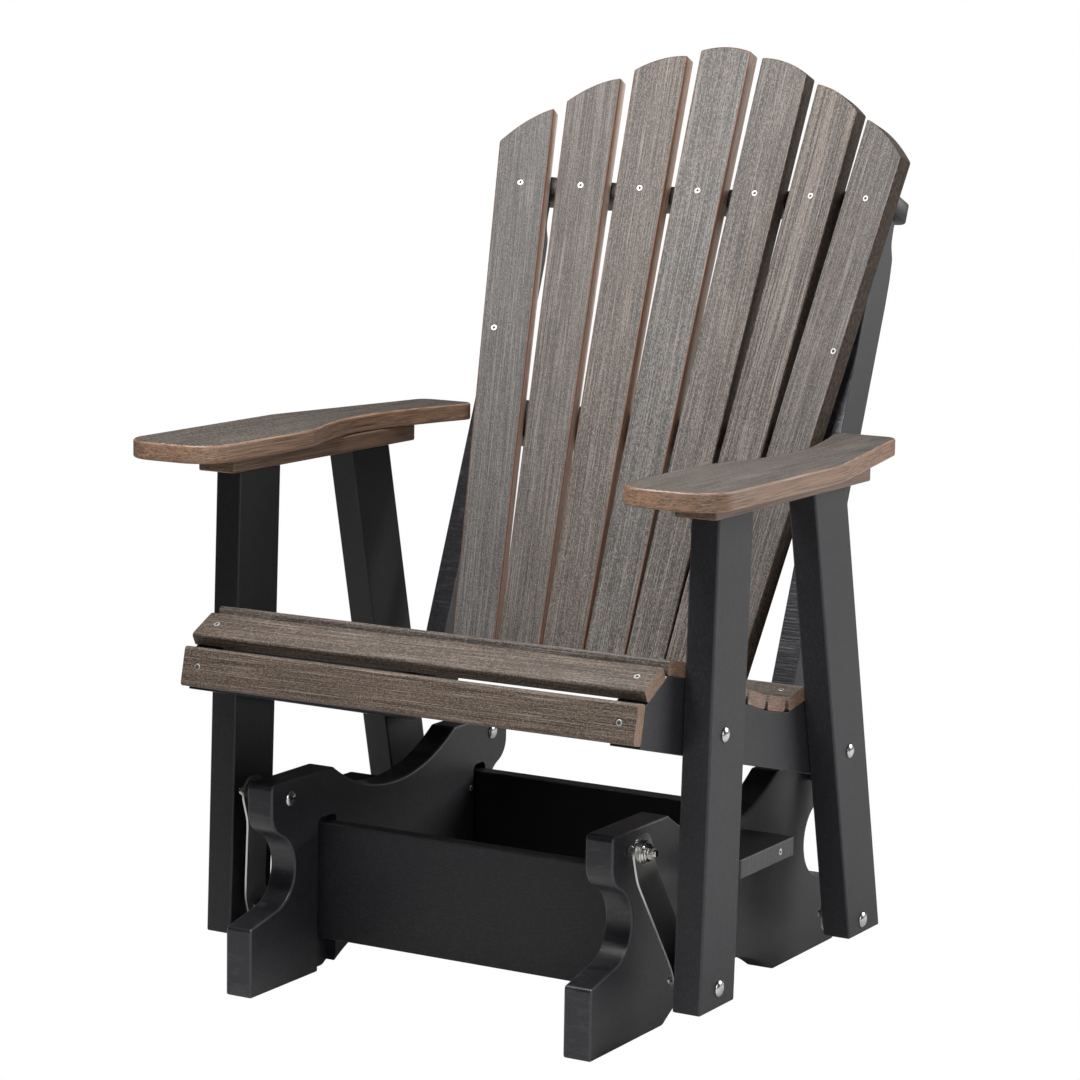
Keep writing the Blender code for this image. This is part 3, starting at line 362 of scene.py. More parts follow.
def mirrored(outline):
    """The outline with u reversed, still running the same way round."""
    return [(-u, v) for u, v in reversed(outline)]


def extruded(outline, thickness, rounding=0.0, segments=EDGE_SEGMENTS, sharp=SHARP_ANGLE):
    """A board: an outline in u and v, as thick as given along w, with its sharp edges rounded."""
    bm = bmesh.new()
    face = bm.faces.new([bm.verts.new((u, v, 0)) for u, v in outline])
    lifted = bmesh.ops.extrude_face_region(bm, geom=[face])["geom"]
    corners = [item for item in lifted if isinstance(item, bmesh.types.BMVert)]
    bmesh.ops.translate(bm, vec=(0, 0, thickness), verts=corners)
    bmesh.ops.recalc_face_normals(bm, faces=bm.faces)
    if rounding > 0:
        limit = math.radians(sharp)
        edges = [e for e in bm.edges if len(e.link_faces) == 2 and e.calc_face_angle(0.0) > limit]
        bmesh.ops.bevel(bm, geom=edges, offset=rounding, affect="EDGES", segments=segments, profile=0.5,
                        material=-1, clamp_overlap=True)
    return bm


def rear_half_of_panel():
    """The outline from the crown of the arch round the rear foot and horn to the scoop's lowest point."""
    arch_radius = (ARCH_HALF ** 2 + ARCH_RISE ** 2) / (2 * ARCH_RISE)
    arch_z = ARCH_RISE - arch_radius
    reach = arch_radius + ARCH_CORNER
    corner_y = math.sqrt(reach ** 2 - (ARCH_CORNER - arch_z) ** 2)
    contact = math.degrees(math.atan2(ARCH_CORNER - arch_z, corner_y))
    points = arc((0, arch_z), arch_radius, 90, contact)
    points += arc((corner_y, ARCH_CORNER), ARCH_CORNER, contact + 180, 270, CORNER_STEPS)[1:]
    points.append((FOOT_REACH, 0))
    foot_corner = (FOOT_REACH - FOOT_CORNER, FOOT_TIP - FOOT_CORNER)
    points += arc(foot_corner, FOOT_CORNER, 0, FOOT_SWEEP, SMALL_STEPS)
    centre_y, centre_z, radius = SCALLOP
    tip = Vector((FOOT_REACH - centre_y, FOOT_TIP - centre_z))
    tangent = math.degrees(math.atan2(tip.y, tip.x) - math.acos(radius / tip.length))
    chin_y = HORN_REACH - CHIN_RADIUS
    chin_rise = math.sqrt((radius + CHIN_RADIUS) ** 2 - (chin_y - centre_y) ** 2)
    meeting = math.degrees(math.atan2(chin_rise, chin_y - centre_y))
    points += arc((centre_y, centre_z), radius, tangent, meeting - 360, 2 * ARC_STEPS)
    points += arc((chin_y, centre_z + chin_rise), CHIN_RADIUS, meeting - 180, 0)[1:]
    points += quarter(HORN_REACH, HORN_TOP, HORN_CORNER, 0)
    scoop_radius = (SCOOP_HALF ** 2 + SCOOP_DEPTH ** 2) / (2 * SCOOP_DEPTH)
    scoop_sweep = math.degrees(math.asin(SCOOP_HALF / scoop_radius))
    points += arc((0, HORN_TOP - SCOOP_DEPTH + scoop_radius), scoop_radius, scoop_sweep - 90, -90)
    return points


def dado_outline(near, far):
    """A slot open at the foot of the panel, round at the top as the router leaves it."""
    top = quarter(far, DADO_TOP, DADO_CORNER, 0) + quarter(near, DADO_TOP, DADO_CORNER, 90)
    return [(near, -OVERRUN), (far, -OVERRUN)] + top


LUMBER = {"black_lumber": black_lumber()}
routed_edge = rim_below(0.55)
rear = rear_half_of_panel()
panel_outline = rear + mirrored(rear[1:-1])
for side, side_name in SIDES:
    start = PANEL_THICKNESS - DADO_DEPTH if side < 0 else -OVERRUN
    slots = [extruded(dado_outline(near, far + GAP), DADO_DEPTH + OVERRUN) for near, far in DADOS]
    cutter = grouped([(slot, Matrix.Translation((0, 0, start))) for slot in slots])
    panel = subtract(extruded(panel_outline, PANEL_THICKNESS, PANEL_EDGE), cutter)
    place = side_view(near_x(side, PANEL_INNER, PANEL_THICKNESS))
    show("base_" + side_name + "_side", "_panel", panel, place, "black_lumber", ALONG_U, 1 + side * 0.4,
         "base", cut_faces=routed_edge)

# Cross boards of the base
# Two black boards on edge sit in the dados of the side panels and hold them apart. The rear one stands in the
# shade, which is painted on it as a darker colour.

BOARD_THICKNESS = 0.02286
BOARD_FOOT = 0.03937
BOARD_TOP = 0.19177
BLACK_EDGE = 0.00254
# The last value is each board's lightness: the rear board is darkened as painted shade.
CROSS_BOARDS = (("base_front_board", -0.1651, 3.1, 1.0), ("base_rear_board", 0.20625, 4.3, 0.1))


def rectangle(left, right, low, high):
    return [(left, low), (right, low), (right, high), (left, high)]


reach = PANEL_INNER + DADO_DEPTH - GAP
for node, face_y, seed, light in CROSS_BOARDS:
    board = extruded(rectangle(-reach, reach, BOARD_FOOT, BOARD_TOP), BOARD_THICKNESS, BLACK_EDGE)
    place = axes_matrix((0, face_y + BOARD_THICKNESS, 0), (1, 0, 0), (0, 0, 1), (0, -1, 0))
    show(node, "_shown", board, place, "black_lumber", ALONG_U, seed, "base", tone=black_tone(light))

# Stop boards
# A flat black board lies against the outside of each panel, fixed by a long screw sunk in its outer edge. A
# leg meets its front end when the seat swings back.

STOP_YS = (-0.09271, 0.05842)
STOP_WIDTH = 0.06985
STOP_THICKNESS = 0.02413
STOP_FOOT = 0.18034
STOP_CORNER = 0.00406
STOP_EDGE = 0.0015
STOP_FACE = PANEL_OUTER + GAP + STOP_WIDTH
ALONG_V = [0, 1, 2]

for side, side_name in SIDES:
    front, rear = STOP_YS
    outline = [(PANEL_OUTER + GAP, front)] + quarter(STOP_FACE, front, STOP_CORNER, -90)
    outline += quarter(STOP_FACE, rear, STOP_CORNER, 0) + [(PANEL_OUTER + GAP, rear)]
    if side < 0:
        outline = mirrored(outline)
    show(side_name + "_stop_board", "_shown", extruded(outline, STOP_THICKNESS, STOP_EDGE, 3),
         Matrix.Translation((0, 0, STOP_FOOT)), "black_lumber", ALONG_V, 5 + side * 0.7, "base",
         cut_faces=routed_edge)

# Upper pivots
# A stainless dome-head bolt passes each horn. A nut and washer hold the hanger off the panel, and a washer
# and a lock nut with a nylon collar close the stack on the bolt's threaded end.

TURN_STEPS = 40
NUT_STEPS = 48
DOME_STEPS = 8
DOME_START = math.radians(18)
AXIS_RADIUS = 0.00002
HANGER_STANDOFF = 0.01651
STRAP_THICKNESS = 0.00305
FLANGE_THICKNESS = 0.00508
BOLT_RADIUS = 0.00476
BOLT_END = 0.00356
HEAD_RADIUS = 0.01016
HEAD_HEIGHT = 0.00483
NUT_RADIUS = 0.00787
NUT_THICKNESS = 0.0066
NUT_FACE_SHARE = 0.97
NUT_CHAMFER_SHARE = 0.6
COLLAR_SHARE = 0.25
COLLAR_RADIUS_SHARE = 0.82
SPACER_RADIUS_SHARE = 0.8
WASHER_RADIUS = 0.01118
WASHER_THICKNESS = 0.00178
THREAD_PITCH = 0.00159
THREAD_DEPTH = 0.0004
SOFTENED = 0.0004
PIVOTS = (("front", -0.24714, 0.05537), ("rear", 0.2474, -0.03327))
PIVOT_Z = 0.23965


def steel_paint(name, colour, rough, brushed):
    """Stainless steel with fine brushing along the piece's second axis and a few rubbed patches."""
    paint = Paint(name)
    lines = paint.noise((2600.0, 60.0, 2600.0), 2.0, 0.6)
    smear = paint.noise((160.0, 90.0, 160.0), 3.0, 0.6)
    shade = paint.mix(smear * 0.5 + lines * 0.3, tuple(c * 0.72 for c in colour), colour)
    return paint.finish(Base_Color=shade, Metallic=1.0, Roughness=rough + smear * 0.14 + lines * brushed,
                        height=lines * (0.0002 * brushed))


def cloudy_paint(name, scale, dark, pale, rough, spread):
    """A dull material between two colours, for nylon and for the painted shade in screw recesses."""
    paint = Paint(name)
    cloud = paint.noise((scale, scale, scale))
    return paint.finish(Base_Color=paint.mix(cloud, dark, pale), Roughness=rough + cloud * spread)


def turned(rows, steps=TURN_STEPS):
    """A turned mesh about +Z from rows of radius and height, with True after them for a hexagonal row.

    Rows that end where they start make a ring, and all others are closed with flat ends.
    """
    half = math.pi / 6
    bm = bmesh.new()
    rings = []
    for radius, height, *hexagonal in rows:
        ring = []
        for step in range(steps):
            angle = math.tau * step / steps
            reach = radius
            if hexagonal:
                off_flat = (angle + half) % (2 * half) - half
                reach = min(radius, radius * math.cos(half) / math.cos(off_flat))
            ring.append(bm.verts.new((reach * math.cos(angle), reach * math.sin(angle), height)))
        rings.append(ring)
    for first, second in zip(rings, rings[1:]):
        for step in range(steps):
            after = (step + 1) % steps
            bm.faces.new((first[step], first[after], second[after], second[step]))
    if rows[0] == rows[-1]:
        bmesh.ops.remove_doubles(bm, verts=bm.verts, dist=0.000001)
    else:
        bm.faces.new(rings[0])
        bm.faces.new(rings[-1])
    bmesh.ops.recalc_face_normals(bm, faces=bm.faces)
    return bm


def ring_shape(inner, outer, low, high):
    """A washer with softened edges."""
    soft = min(SOFTENED, (high - low) / 4)
    return turned([(inner, low), (outer - soft, low), (outer, low + soft), (outer, high - soft),
                   (outer - soft, high), (inner, high), (inner, low)])


def nut_shape(bore, radius, low, high):
    """A hexagonal nut whose corners are turned off at both ends."""
    flat = radius * math.cos(math.pi / 6)
    chamfer = (radius - flat) * NUT_CHAMFER_SHARE
    face = flat * NUT_FACE_SHARE
    return turned([(bore, low), (face, low), (radius, low + chamfer, True), (radius, high - chamfer, True),
                   (face, high), (bore, high), (bore, low)], NUT_STEPS)


def dome_shape(radius, height, shank, length, thread):
    """A dome-head bolt about +Z: head above zero, shank below it, threaded over its last stretch."""
    rows = [(shank - THREAD_DEPTH * 2, -length)]
    z = THREAD_DEPTH * 2 - length
    while z < thread - length:
        rows += [(shank, z), (shank - THREAD_DEPTH, z + THREAD_PITCH / 2)]
        z += THREAD_PITCH
    rows += [(shank, z), (shank, GAP), (radius - SOFTENED, GAP), (radius, GAP + SOFTENED)]
    foot = GAP + SOFTENED * 2
    low = math.sin(DOME_START)
    for step in range(DOME_STEPS + 1):
        angle = DOME_START + (math.pi / 2 - DOME_START) * step / DOME_STEPS
        across = max(radius * math.cos(angle) / math.cos(DOME_START), AXIS_RADIUS)
        rows.append((across, foot + (height - foot) * (math.sin(angle) - low) / (1 - low)))
    return turned(rows)


def hardware(name, shapes, material, body, nodes=(), hang=Matrix()):
    """One piece of separate turned shapes, in the row's frame."""
    piece = board_object(name, grouped(shapes), hang, material, ALONG_V, len(name))
    if nodes:
        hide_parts(*nodes)
    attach(piece, body)


def pivot_stack(node, thickness, head, tail, spacers, nut_low, body):
    """A pivot's bolt through a board, its spacers, and the lock nut with its collar.

    head and tail are frames that point away from the board on its two faces. The spacers and the nut are
    on the tail's side.
    """
    length = thickness + nut_low + NUT_THICKNESS + BOLT_END
    bolt = dome_shape(HEAD_RADIUS, HEAD_HEIGHT, BOLT_RADIUS, length, NUT_THICKNESS + BOLT_END)
    nut_high = nut_low + NUT_THICKNESS
    collar_low = nut_high - NUT_THICKNESS * COLLAR_SHARE
    nut = nut_shape(BOLT_RADIUS, NUT_RADIUS, nut_low, collar_low)
    shapes = [(bolt, head)] + [(shape, tail) for shape in (*spacers, nut)]
    hardware(node + "_stack", shapes, STEEL, body, [node])
    collar = ring_shape(BOLT_RADIUS + GAP, NUT_RADIUS * COLLAR_RADIUS_SHARE, collar_low, nut_high)
    hardware(node + "_collar", [(collar, tail)], NYLON, body)


STEEL = steel_paint("steel", (0.66, 0.655, 0.64), 0.12, 0.1)
NYLON = cloudy_paint("nylon", 300.0, (0.25, 0.24, 0.2), (0.42, 0.4, 0.34), 0.4, 0.1)
spacer_low = HANGER_STANDOFF - GAP - WASHER_THICKNESS
flange_end = HANGER_STANDOFF + GAP + STRAP_THICKNESS + FLANGE_THICKNESS
nut_low = flange_end + GAP + WASHER_THICKNESS
for side, side_name in SIDES:
    for end, y, swing in PIVOTS:
        spacers = (
            nut_shape(BOLT_RADIUS, NUT_RADIUS, GAP, NUT_THICKNESS),
            ring_shape(BOLT_RADIUS, WASHER_RADIUS * SPACER_RADIUS_SHARE, NUT_THICKNESS, spacer_low),
            ring_shape(BOLT_RADIUS, WASHER_RADIUS, spacer_low, spacer_low + WASHER_THICKNESS),
            ring_shape(BOLT_RADIUS, WASHER_RADIUS, flange_end + GAP, nut_low - GAP),
        )
        pivot_stack(end + "_" + side_name + "_upper_pivot", PANEL_THICKNESS,
                    along_x(side * PANEL_INNER, y, PIVOT_Z, -side),
                    along_x(side * PANEL_OUTER, y, PIVOT_Z, side), spacers, nut_low, "base")

# Hangers
# Each hanger is a flat stainless strap with round ends, bent outwards between two straight ends. A flanged
# bearing is pressed in each eye, apart from the wide lower eyes of the rear straps.

HANGER_LENGTH = 0.17653
HANGER_HALF_WIDTH = 0.02286
STRAP_EDGE = 0.00051
STRAP_END_STEPS = 28
STRAIGHT_END = 0.02921
BEND_STEPS = 5
BEND_SPREAD = 0.00889
LEG_INNER = 0.3189
LEG_GAP = 0.00889
BEARING_RADIUS = 0.01067
FLANGE_RADIUS = 0.0146
FLANGE_FACE = ((1.0, 0.0), (1.0, 0.3), (0.9589, 0.42), (0.86, 0.45), (0.84, 0.92126), (0.8, 1.0), (0.68, 1.0),
               (0.66, 0.84252), (0.58, 0.84252), (0.56, 1.0))
REAR_EYE = 0.01206
STRAP_UPPER_X = PANEL_OUTER + HANGER_STANDOFF
STRAP_LOWER_X = LEG_INNER - LEG_GAP - STRAP_THICKNESS
STRAP_ORDER = [1, 2, 0]


def strap_bend(z, side, x):
    """The x of a point of the strap at a height below the upper pivot, with both bends rounded."""
    start = -STRAIGHT_END
    end = STRAIGHT_END - HANGER_LENGTH
    slope = (STRAP_LOWER_X - STRAP_UPPER_X) / (end - start)

    def ramp(t):
        """Zero before the bend, a straight rise after it, and round within the bend's spread."""
        if t <= -BEND_SPREAD:
            return 0.0
        if t >= BEND_SPREAD:
            return t
        return (t + BEND_SPREAD) ** 2 / (4 * BEND_SPREAD)

    return side * (x + STRAP_UPPER_X - slope * (ramp(start - z) - ramp(end - z)))


def strap_mesh(side, eyes):
    """A strap with its eyes, flat at first, then bent."""
    outline = arc((0, -HANGER_LENGTH), HANGER_HALF_WIDTH, 180, 360, STRAP_END_STEPS)
    outline += arc((0, 0), HANGER_HALF_WIDTH, 0, 180, STRAP_END_STEPS)
    flat = extruded(outline, STRAP_THICKNESS, STRAP_EDGE, 2)
    holes = [(turned([(radius, -OVERRUN), (radius, OVERRUN + STRAP_THICKNESS)]),
              Matrix.Translation((0, z, 0))) for z, radius in eyes]
    bm = subtract(flat, grouped(holes))
    bm.transform(side_view(0))
    for bend in (-STRAIGHT_END, STRAIGHT_END - HANGER_LENGTH):
        for step in range(BEND_STEPS + 1):
            height = bend + BEND_SPREAD * (2 * step / BEND_STEPS - 1)
            parts = bm.verts[:] + bm.edges[:] + bm.faces[:]
            bmesh.ops.bisect_plane(bm, geom=parts, plane_co=(0, 0, height), plane_no=(0, 0, 1))
    for vert in bm.verts:
        vert.co.x = strap_bend(vert.co.z, side, vert.co.x)
    bmesh.ops.recalc_face_normals(bm, faces=bm.faces)
    return bm


def bearing_shape():
    """A flanged bearing with a stepped face: outer race, a groove, and the inner race."""
    bore = BOLT_RADIUS + GAP / 3
    base = STRAP_THICKNESS + GAP
    rows = [(bore, 0), (BEARING_RADIUS, 0), (BEARING_RADIUS, base)]
    rows += [(FLANGE_RADIUS * across, base + FLANGE_THICKNESS * up) for across, up in FLANGE_FACE]
    return turned(rows + [(bore, base + FLANGE_THICKNESS), (bore, 0)])


STRAP_STEEL = steel_paint("strap_steel", (0.6, 0.595, 0.58), 0.22, 0.1)
for side, side_name in SIDES:
    for end, y, swing in PIVOTS:
        body = end + "_" + side_name + "_hanger"
        turn = Matrix.Rotation(math.asin(swing / HANGER_LENGTH), 4, "X")
        hang = Matrix.Translation((0, y, PIVOT_Z)) @ turn
        lower_eye = BEARING_RADIUS if end == "front" else REAR_EYE
        strap = strap_mesh(side, ((0, BEARING_RADIUS), (-HANGER_LENGTH, lower_eye)))
        piece = board_object(body + "_strap", strap, hang, STRAP_STEEL, STRAP_ORDER, 7 + side)
        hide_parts(body)
        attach(piece, body)
        shapes = [(bearing_shape(), along_x(side * STRAP_UPPER_X, 0, 0, side))]
        nodes = [end + "_" + side_name + "_upper_bearing"]
        if end == "front":
            lower = along_x(side * (STRAP_LOWER_X + STRAP_THICKNESS), 0, -HANGER_LENGTH, -side)
            shapes.append((bearing_shape(), lower))
            nodes.append("front_" + side_name + "_lower_bearing")
        hardware(body + "_races", shapes, STEEL, body, nodes, hang)

# Legs
# Four black posts of nominal two by four lumber lean against each other, with level feet and tops. The left
# ones stand in the shade, which is painted on them as a darker colour.

LEG_THICKNESS = 0.03772
LEG_OUTER = LEG_INNER + LEG_THICKNESS
LEG_FOOT_Z = 0.04775
LEG_TOP_Z = 0.64262
LEG_SHAPES = (("front", -0.23952, -0.21946, 0.0889), ("rear", 0.17678, 0.03632, 0.09068))
# The left legs are darkened as painted shade.
LEG_SHADE_LIGHTNESS = {-1: 0.66, 1: 1.0}

for side, side_name in SIDES:
    for end, foot_y, top_y, depth in LEG_SHAPES:
        outline = [(foot_y, LEG_FOOT_Z), (foot_y + depth, LEG_FOOT_Z), (top_y + depth, LEG_TOP_Z),
                   (top_y, LEG_TOP_Z)]
        show(end + "_" + side_name + "_leg", "_post", extruded(outline, LEG_THICKNESS, BLACK_EDGE),
             side_view(near_x(side, LEG_INNER, LEG_THICKNESS)), "black_lumber", ALONG_V,
             9 + side + len(end), tone=black_tone(LEG_SHADE_LIGHTNESS[side]))

# Seat slats
# Nine boards of one rounded stock run across the seat: an upright apron, a tilted front slat and seven that
# dip towards the back. They are moulded all round, and only the sawn ends show the browner core.

SLAT_WIDTH = 0.04953
SLAT_THICKNESS = 0.01829
SLAT_ROUND = 0.00432
SLAT_END_ROUND = 0.0005
SLAT_END_SHARP = 60
SLAT_SPACING = 0.00635
SLAT_ROWS = (("apron_slat", -0.34963, 0.39014, 77.8), ("waterfall_slat", -0.32512, 0.45098, 26.4))
SEAT_START = (-0.26518, 0.47803)
SEAT_TILTS = (-13.0, -18.0, -21.0, -21.0, -17.0, -12.0, 9.0)
SEAT_TONES = ((1.1, 0.35, 1.0, 0.64), (1.0, 0.3, 0.88, 0.62)) + 7 * ((0.7, 0.3, 0.76, 0.58),)
ALONG_W = [0, 2, 1]
GREY_SHADES = ((0.027, 0.0258, 0.0258), (0.194, 0.185, 0.178))
BROWN_SHADES = ((0.03, 0.02, 0.0145), (0.196, 0.142, 0.103))
PALE_LINE = (0.32, 0.3, 0.285)
PALE_SPECKLE = (0.37, 0.355, 0.34)
CORE_SHADES = ((0.134, 0.07, 0.042), (0.48, 0.29, 0.19))
CORE_CLOUD = (0.27, 0.2, 0.154)
PAINTED_LIGHT_CORE = (0.66, 0.53, 0.46)
BURNT_SHADES = ((0.1, 0.04, 0.02), (0.22, 0.095, 0.05))
DARK_SIDE_SHADES = ((0.012, 0.008, 0.005), (0.07, 0.038, 0.018))


def brown_lumber():
    """Weathered brown plastic lumber: streaked grey-brown moulded faces, tan sawn edges with curved grain."""
    paint = Paint("brown_lumber")
    cut = paint.attribute("cut", "Fac")
    edge = paint.attribute("edge", "Fac")
    dark_side = (edge * -1.0).step(0.0, 1.0)
    ridging = paint.tone("Green")
    core_lightness = paint.attribute("tone", "Alpha")
    speckle = paint.noise((780.0, 420.0, 780.0), 1.0)
    dash = paint.noise((640.0, 150.0, 640.0), 2.0, 0.6)
    line = paint.noise((700.0, 9.0, 700.0), 2.0, 0.55)
    ridge = paint.noise((190.0, 3.4, 190.0), 1.0, 0.5, 0.35)
    patch = paint.noise((16.0, 1.6, 16.0), 3.0)
    streak = speckle * 0.34 + dash * 0.3 + line * 0.36
    light = streak.step(0.4, 0.62) * 0.8 + ridging * ridge.step(0.42, 0.62) * 0.4 - ridging * 0.12
    grey = paint.mix(light, *GREY_SHADES)
    brown = paint.mix(light, *BROWN_SHADES)
    face = paint.mix(paint.tone("Red") + patch * 0.7 - 0.35, grey, brown)
    face = paint.mix(line.step(0.6, 0.7) * 0.3, face, PALE_LINE)
    face = paint.mix(speckle.step(0.62, 0.7) * 0.2, face, PALE_SPECKLE)
    face = paint.dimmed(paint.tone("Blue"), face)
    rings = paint.noise((90.0, 7.0, 820.0), 3.0, 0.6, 1.6)
    cloud = paint.noise((20.0, 6.0, 60.0))
    core = paint.mix(rings.step(0.34, 0.64), *CORE_SHADES)
    core = paint.mix(cloud.step(0.4, 0.8) * 0.35, core, CORE_CLOUD)
    # Cores as light as those of the left back slats are paled as painted light on their sawn faces.
    core = paint.mix(core_lightness.step(0.8, 1.0) * 0.7, core, PAINTED_LIGHT_CORE)
    core = paint.dimmed(core_lightness, core)
    core = paint.mix(edge, core, paint.mix(rings, *BURNT_SHADES))
    # Sides marked -1 are darkened to a streaky dark brown.
    core = paint.mix(dark_side, core, paint.mix(dash.step(0.42, 0.66), *DARK_SIDE_SHADES))
    colour = paint.mix(cut, face, core)
    rough = 0.46 + streak * 0.24 - cut * 0.12 + dark_side * 0.4
    relief = streak * 0.0011 + ridging * ridge * 0.0016
    height = relief * (1.0 + cut * -0.9) + rings * cut * 0.0001
    return paint.finish(Base_Color=colour, Roughness=rough, height=height)


def sawn_ends(normal):
    return abs(normal.z) > 0.5


def on_slat(row, across, down):
    """The (y, z) point so far across a slat's width and so far down through its thickness."""
    name, y, z, tilt = row
    return (y + across * math.cos(tilt) + down * math.sin(tilt),
            z + across * math.sin(tilt) - down * math.cos(tilt))


def stock_outline():
    """The rounded section that all seat slats share."""
    points = []
    for u, v, start in ((0, -SLAT_THICKNESS, 180), (SLAT_WIDTH, -SLAT_THICKNESS, 270), (SLAT_WIDTH, 0, 0),
                        (0, 0, 90)):
        points += quarter(u, v, SLAT_ROUND, start, SMALL_STEPS)
    return points


LUMBER["brown_lumber"] = brown_lumber()
seat_rows = [(name, y, z, math.radians(tilt)) for name, y, z, tilt in SLAT_ROWS]
slat_y, slat_z = SEAT_START
for number, degrees in enumerate(SEAT_TILTS, 1):
    tilt = math.radians(degrees)
    seat_rows.append(("seat_slat_" + str(number), slat_y, slat_z, tilt))
    slat_y += (SLAT_WIDTH + SLAT_SPACING) * math.cos(tilt)
    slat_z += (SLAT_WIDTH + SLAT_SPACING) * math.sin(tilt)
for number, (name, y, z, tilt) in enumerate(seat_rows):
    board = extruded(stock_outline(), 2 * LEG_INNER, SLAT_END_ROUND, 2, SLAT_END_SHARP)
    place = Matrix.Translation((0, y, z)) @ Matrix.Rotation(tilt, 4, "X") @ side_view(-LEG_INNER)
    show(name, "_board", board, place, "brown_lumber", ALONG_W, 20 + number * 1.3, cut_faces=sawn_ends,
         tone=SEAT_TONES[number], edges=plain)

# Side rails of the seat
# A thick black board inside the legs on each side follows the seat's dip along its top.

RAIL_THICKNESS = 0.04064
RAIL_INNER = LEG_INNER - GAP - RAIL_THICKNESS
RAIL_EDGE = 0.0012
RAIL_SHARP = 20
RAIL_SLOPE = ((-0.23114, 0.35814), (0.13208, 0.26822))
RAIL_REAR_FOOT_Z = 0.27686
RAIL_REAR_INSET = 0.02032


def rail_end(z):
    """The rear end of a side rail at a height, parallel to the rear leg."""
    end, foot_y, top_y, depth = LEG_SHAPES[1]
    share = (z - LEG_FOOT_Z) / (LEG_TOP_Z - LEG_FOOT_Z)
    return (foot_y + share * (top_y - foot_y) + depth - RAIL_REAR_INSET, z)


def crossing(a, b, c, d):
    """Where the line through a and b meets the line through c and d."""
    first = Vector(b) - Vector(a)
    second = Vector(d) - Vector(c)
    share = (Vector(c) - Vector(a)).cross(second) / first.cross(second)
    point = Vector(a) + share * first
    return (point.x, point.y)


under = [[on_slat(row, across, SLAT_THICKNESS + GAP) for across in (0, SLAT_WIDTH)] for row in seat_rows]
apron, waterfall = under[:2]
top = [crossing(*apron, *waterfall), waterfall[1]] + [point for pair in under[2:] for point in pair]
rail_outline = [crossing(*apron, *RAIL_SLOPE), RAIL_SLOPE[1], rail_end(RAIL_REAR_FOOT_Z)]
rail_outline += [rail_end(top[-1][1])] + top[::-1]
for side, side_name in SIDES:
    show(side_name + "_seat_rail", "_board", extruded(rail_outline, RAIL_THICKNESS, RAIL_EDGE, 2, RAIL_SHARP),
         side_view(near_x(side, RAIL_INNER, RAIL_THICKNESS)), "black_lumber", ALONG_U, 40 + side,
         cut_faces=routed_edge)

# Back slats
# Seven tapered slats fan out and curve round the sitter. Their faces are moulded and weathered. Their arched
# tops and sawn sides are tan, apart from the sides of the three on the right, which are darkened. The tan of
# the left slats is lighter and paler as painted light.

BACK_PLANE = (0.18405, 0.4572)
RECLINE = math.radians(21.56)
BACK_UP = Vector((0, math.sin(RECLINE), math.cos(RECLINE)))
BACK_FORWARD = Vector((0, -math.cos(RECLINE), math.sin(RECLINE)))
BACK_ORIGIN = Vector((0, *BACK_PLANE))
HALF_COUNT = 3
SLAT_DEPTH = 0.02362
BACK_SLAT_EDGE = 0.00229
SLAT_FOOT = -0.12065
SLAT_TOP = 0.77241
SLAT_WIDTHS = (0.05898, 0.07671)
SLAT_PITCHES = (0.06012, 0.09538)
BOW_RADIUS = 1.3335
ARCH_DROP = 0.15799
INNER_DROPS = (0.037, 0.089, 0.324, 0.648)
OUTER_DROPS = (0.037, 0.243, 0.574, 1.0)
CROWN_SHARE = 0.08
SIDE_NORMAL = 0.25
# The last value, the lightness of the sawn faces, is highest on the left slats, whose sawn faces carry
# painted light.
BACK_TONES = ((0.35, 0.15, 0.62, 1.0), (0.6, 0.6, 0.71, 0.97), (0.65, 0.3, 0.83, 0.85),
              (0.3, 0.2, 0.89, 0.62), (0.5, 0.3, 0.86, 0.5), (0.6, 1.0, 0.88, 0.5), (0.4, 0.3, 0.81, 0.5))
TOP_STEPS = 14
TOP_RAIL_FOOT = 0.55296


def between(pair, height):
    """A value that changes evenly from the foot of the slats to the top of the middle one."""
    return pair[0] + (height - SLAT_FOOT) / (SLAT_TOP - SLAT_FOOT) * (pair[1] - pair[0])


def slat_lean(k):
    return math.atan2(k * (SLAT_PITCHES[1] - SLAT_PITCHES[0]), SLAT_TOP - SLAT_FOOT)


def back_slat_frame(k):
    """Slat k's frame: origin at the middle of its foot on the back face, then across, along and forward."""
    bow_x = k * between(SLAT_PITCHES, TOP_RAIL_FOOT)
    forward = BOW_RADIUS - math.sqrt(BOW_RADIUS ** 2 - bow_x ** 2)
    turn = math.asin(bow_x / BOW_RADIUS)
    lean = slat_lean(k)
    along = BACK_UP * math.cos(lean) + Vector((math.sin(lean), 0, 0))
    across = Vector((math.cos(lean), 0, 0)) - BACK_UP * math.sin(lean)
    turned_across = across * math.cos(turn) + BACK_FORWARD * math.sin(turn)
    facing = turned_across.cross(along)
    foot = BACK_ORIGIN + BACK_UP * SLAT_FOOT + BACK_FORWARD * forward
    foot += Vector((k * SLAT_PITCHES[0], 0, 0)) - facing * SLAT_DEPTH
    return axes_matrix(foot, turned_across, along, facing)


def slat_point(k, u, height):
    """A point u across slat k at a height of the back, in the slat's own axes."""
    return (u, (height - SLAT_FOOT + u * math.sin(slat_lean(k))) / math.cos(slat_lean(k)))


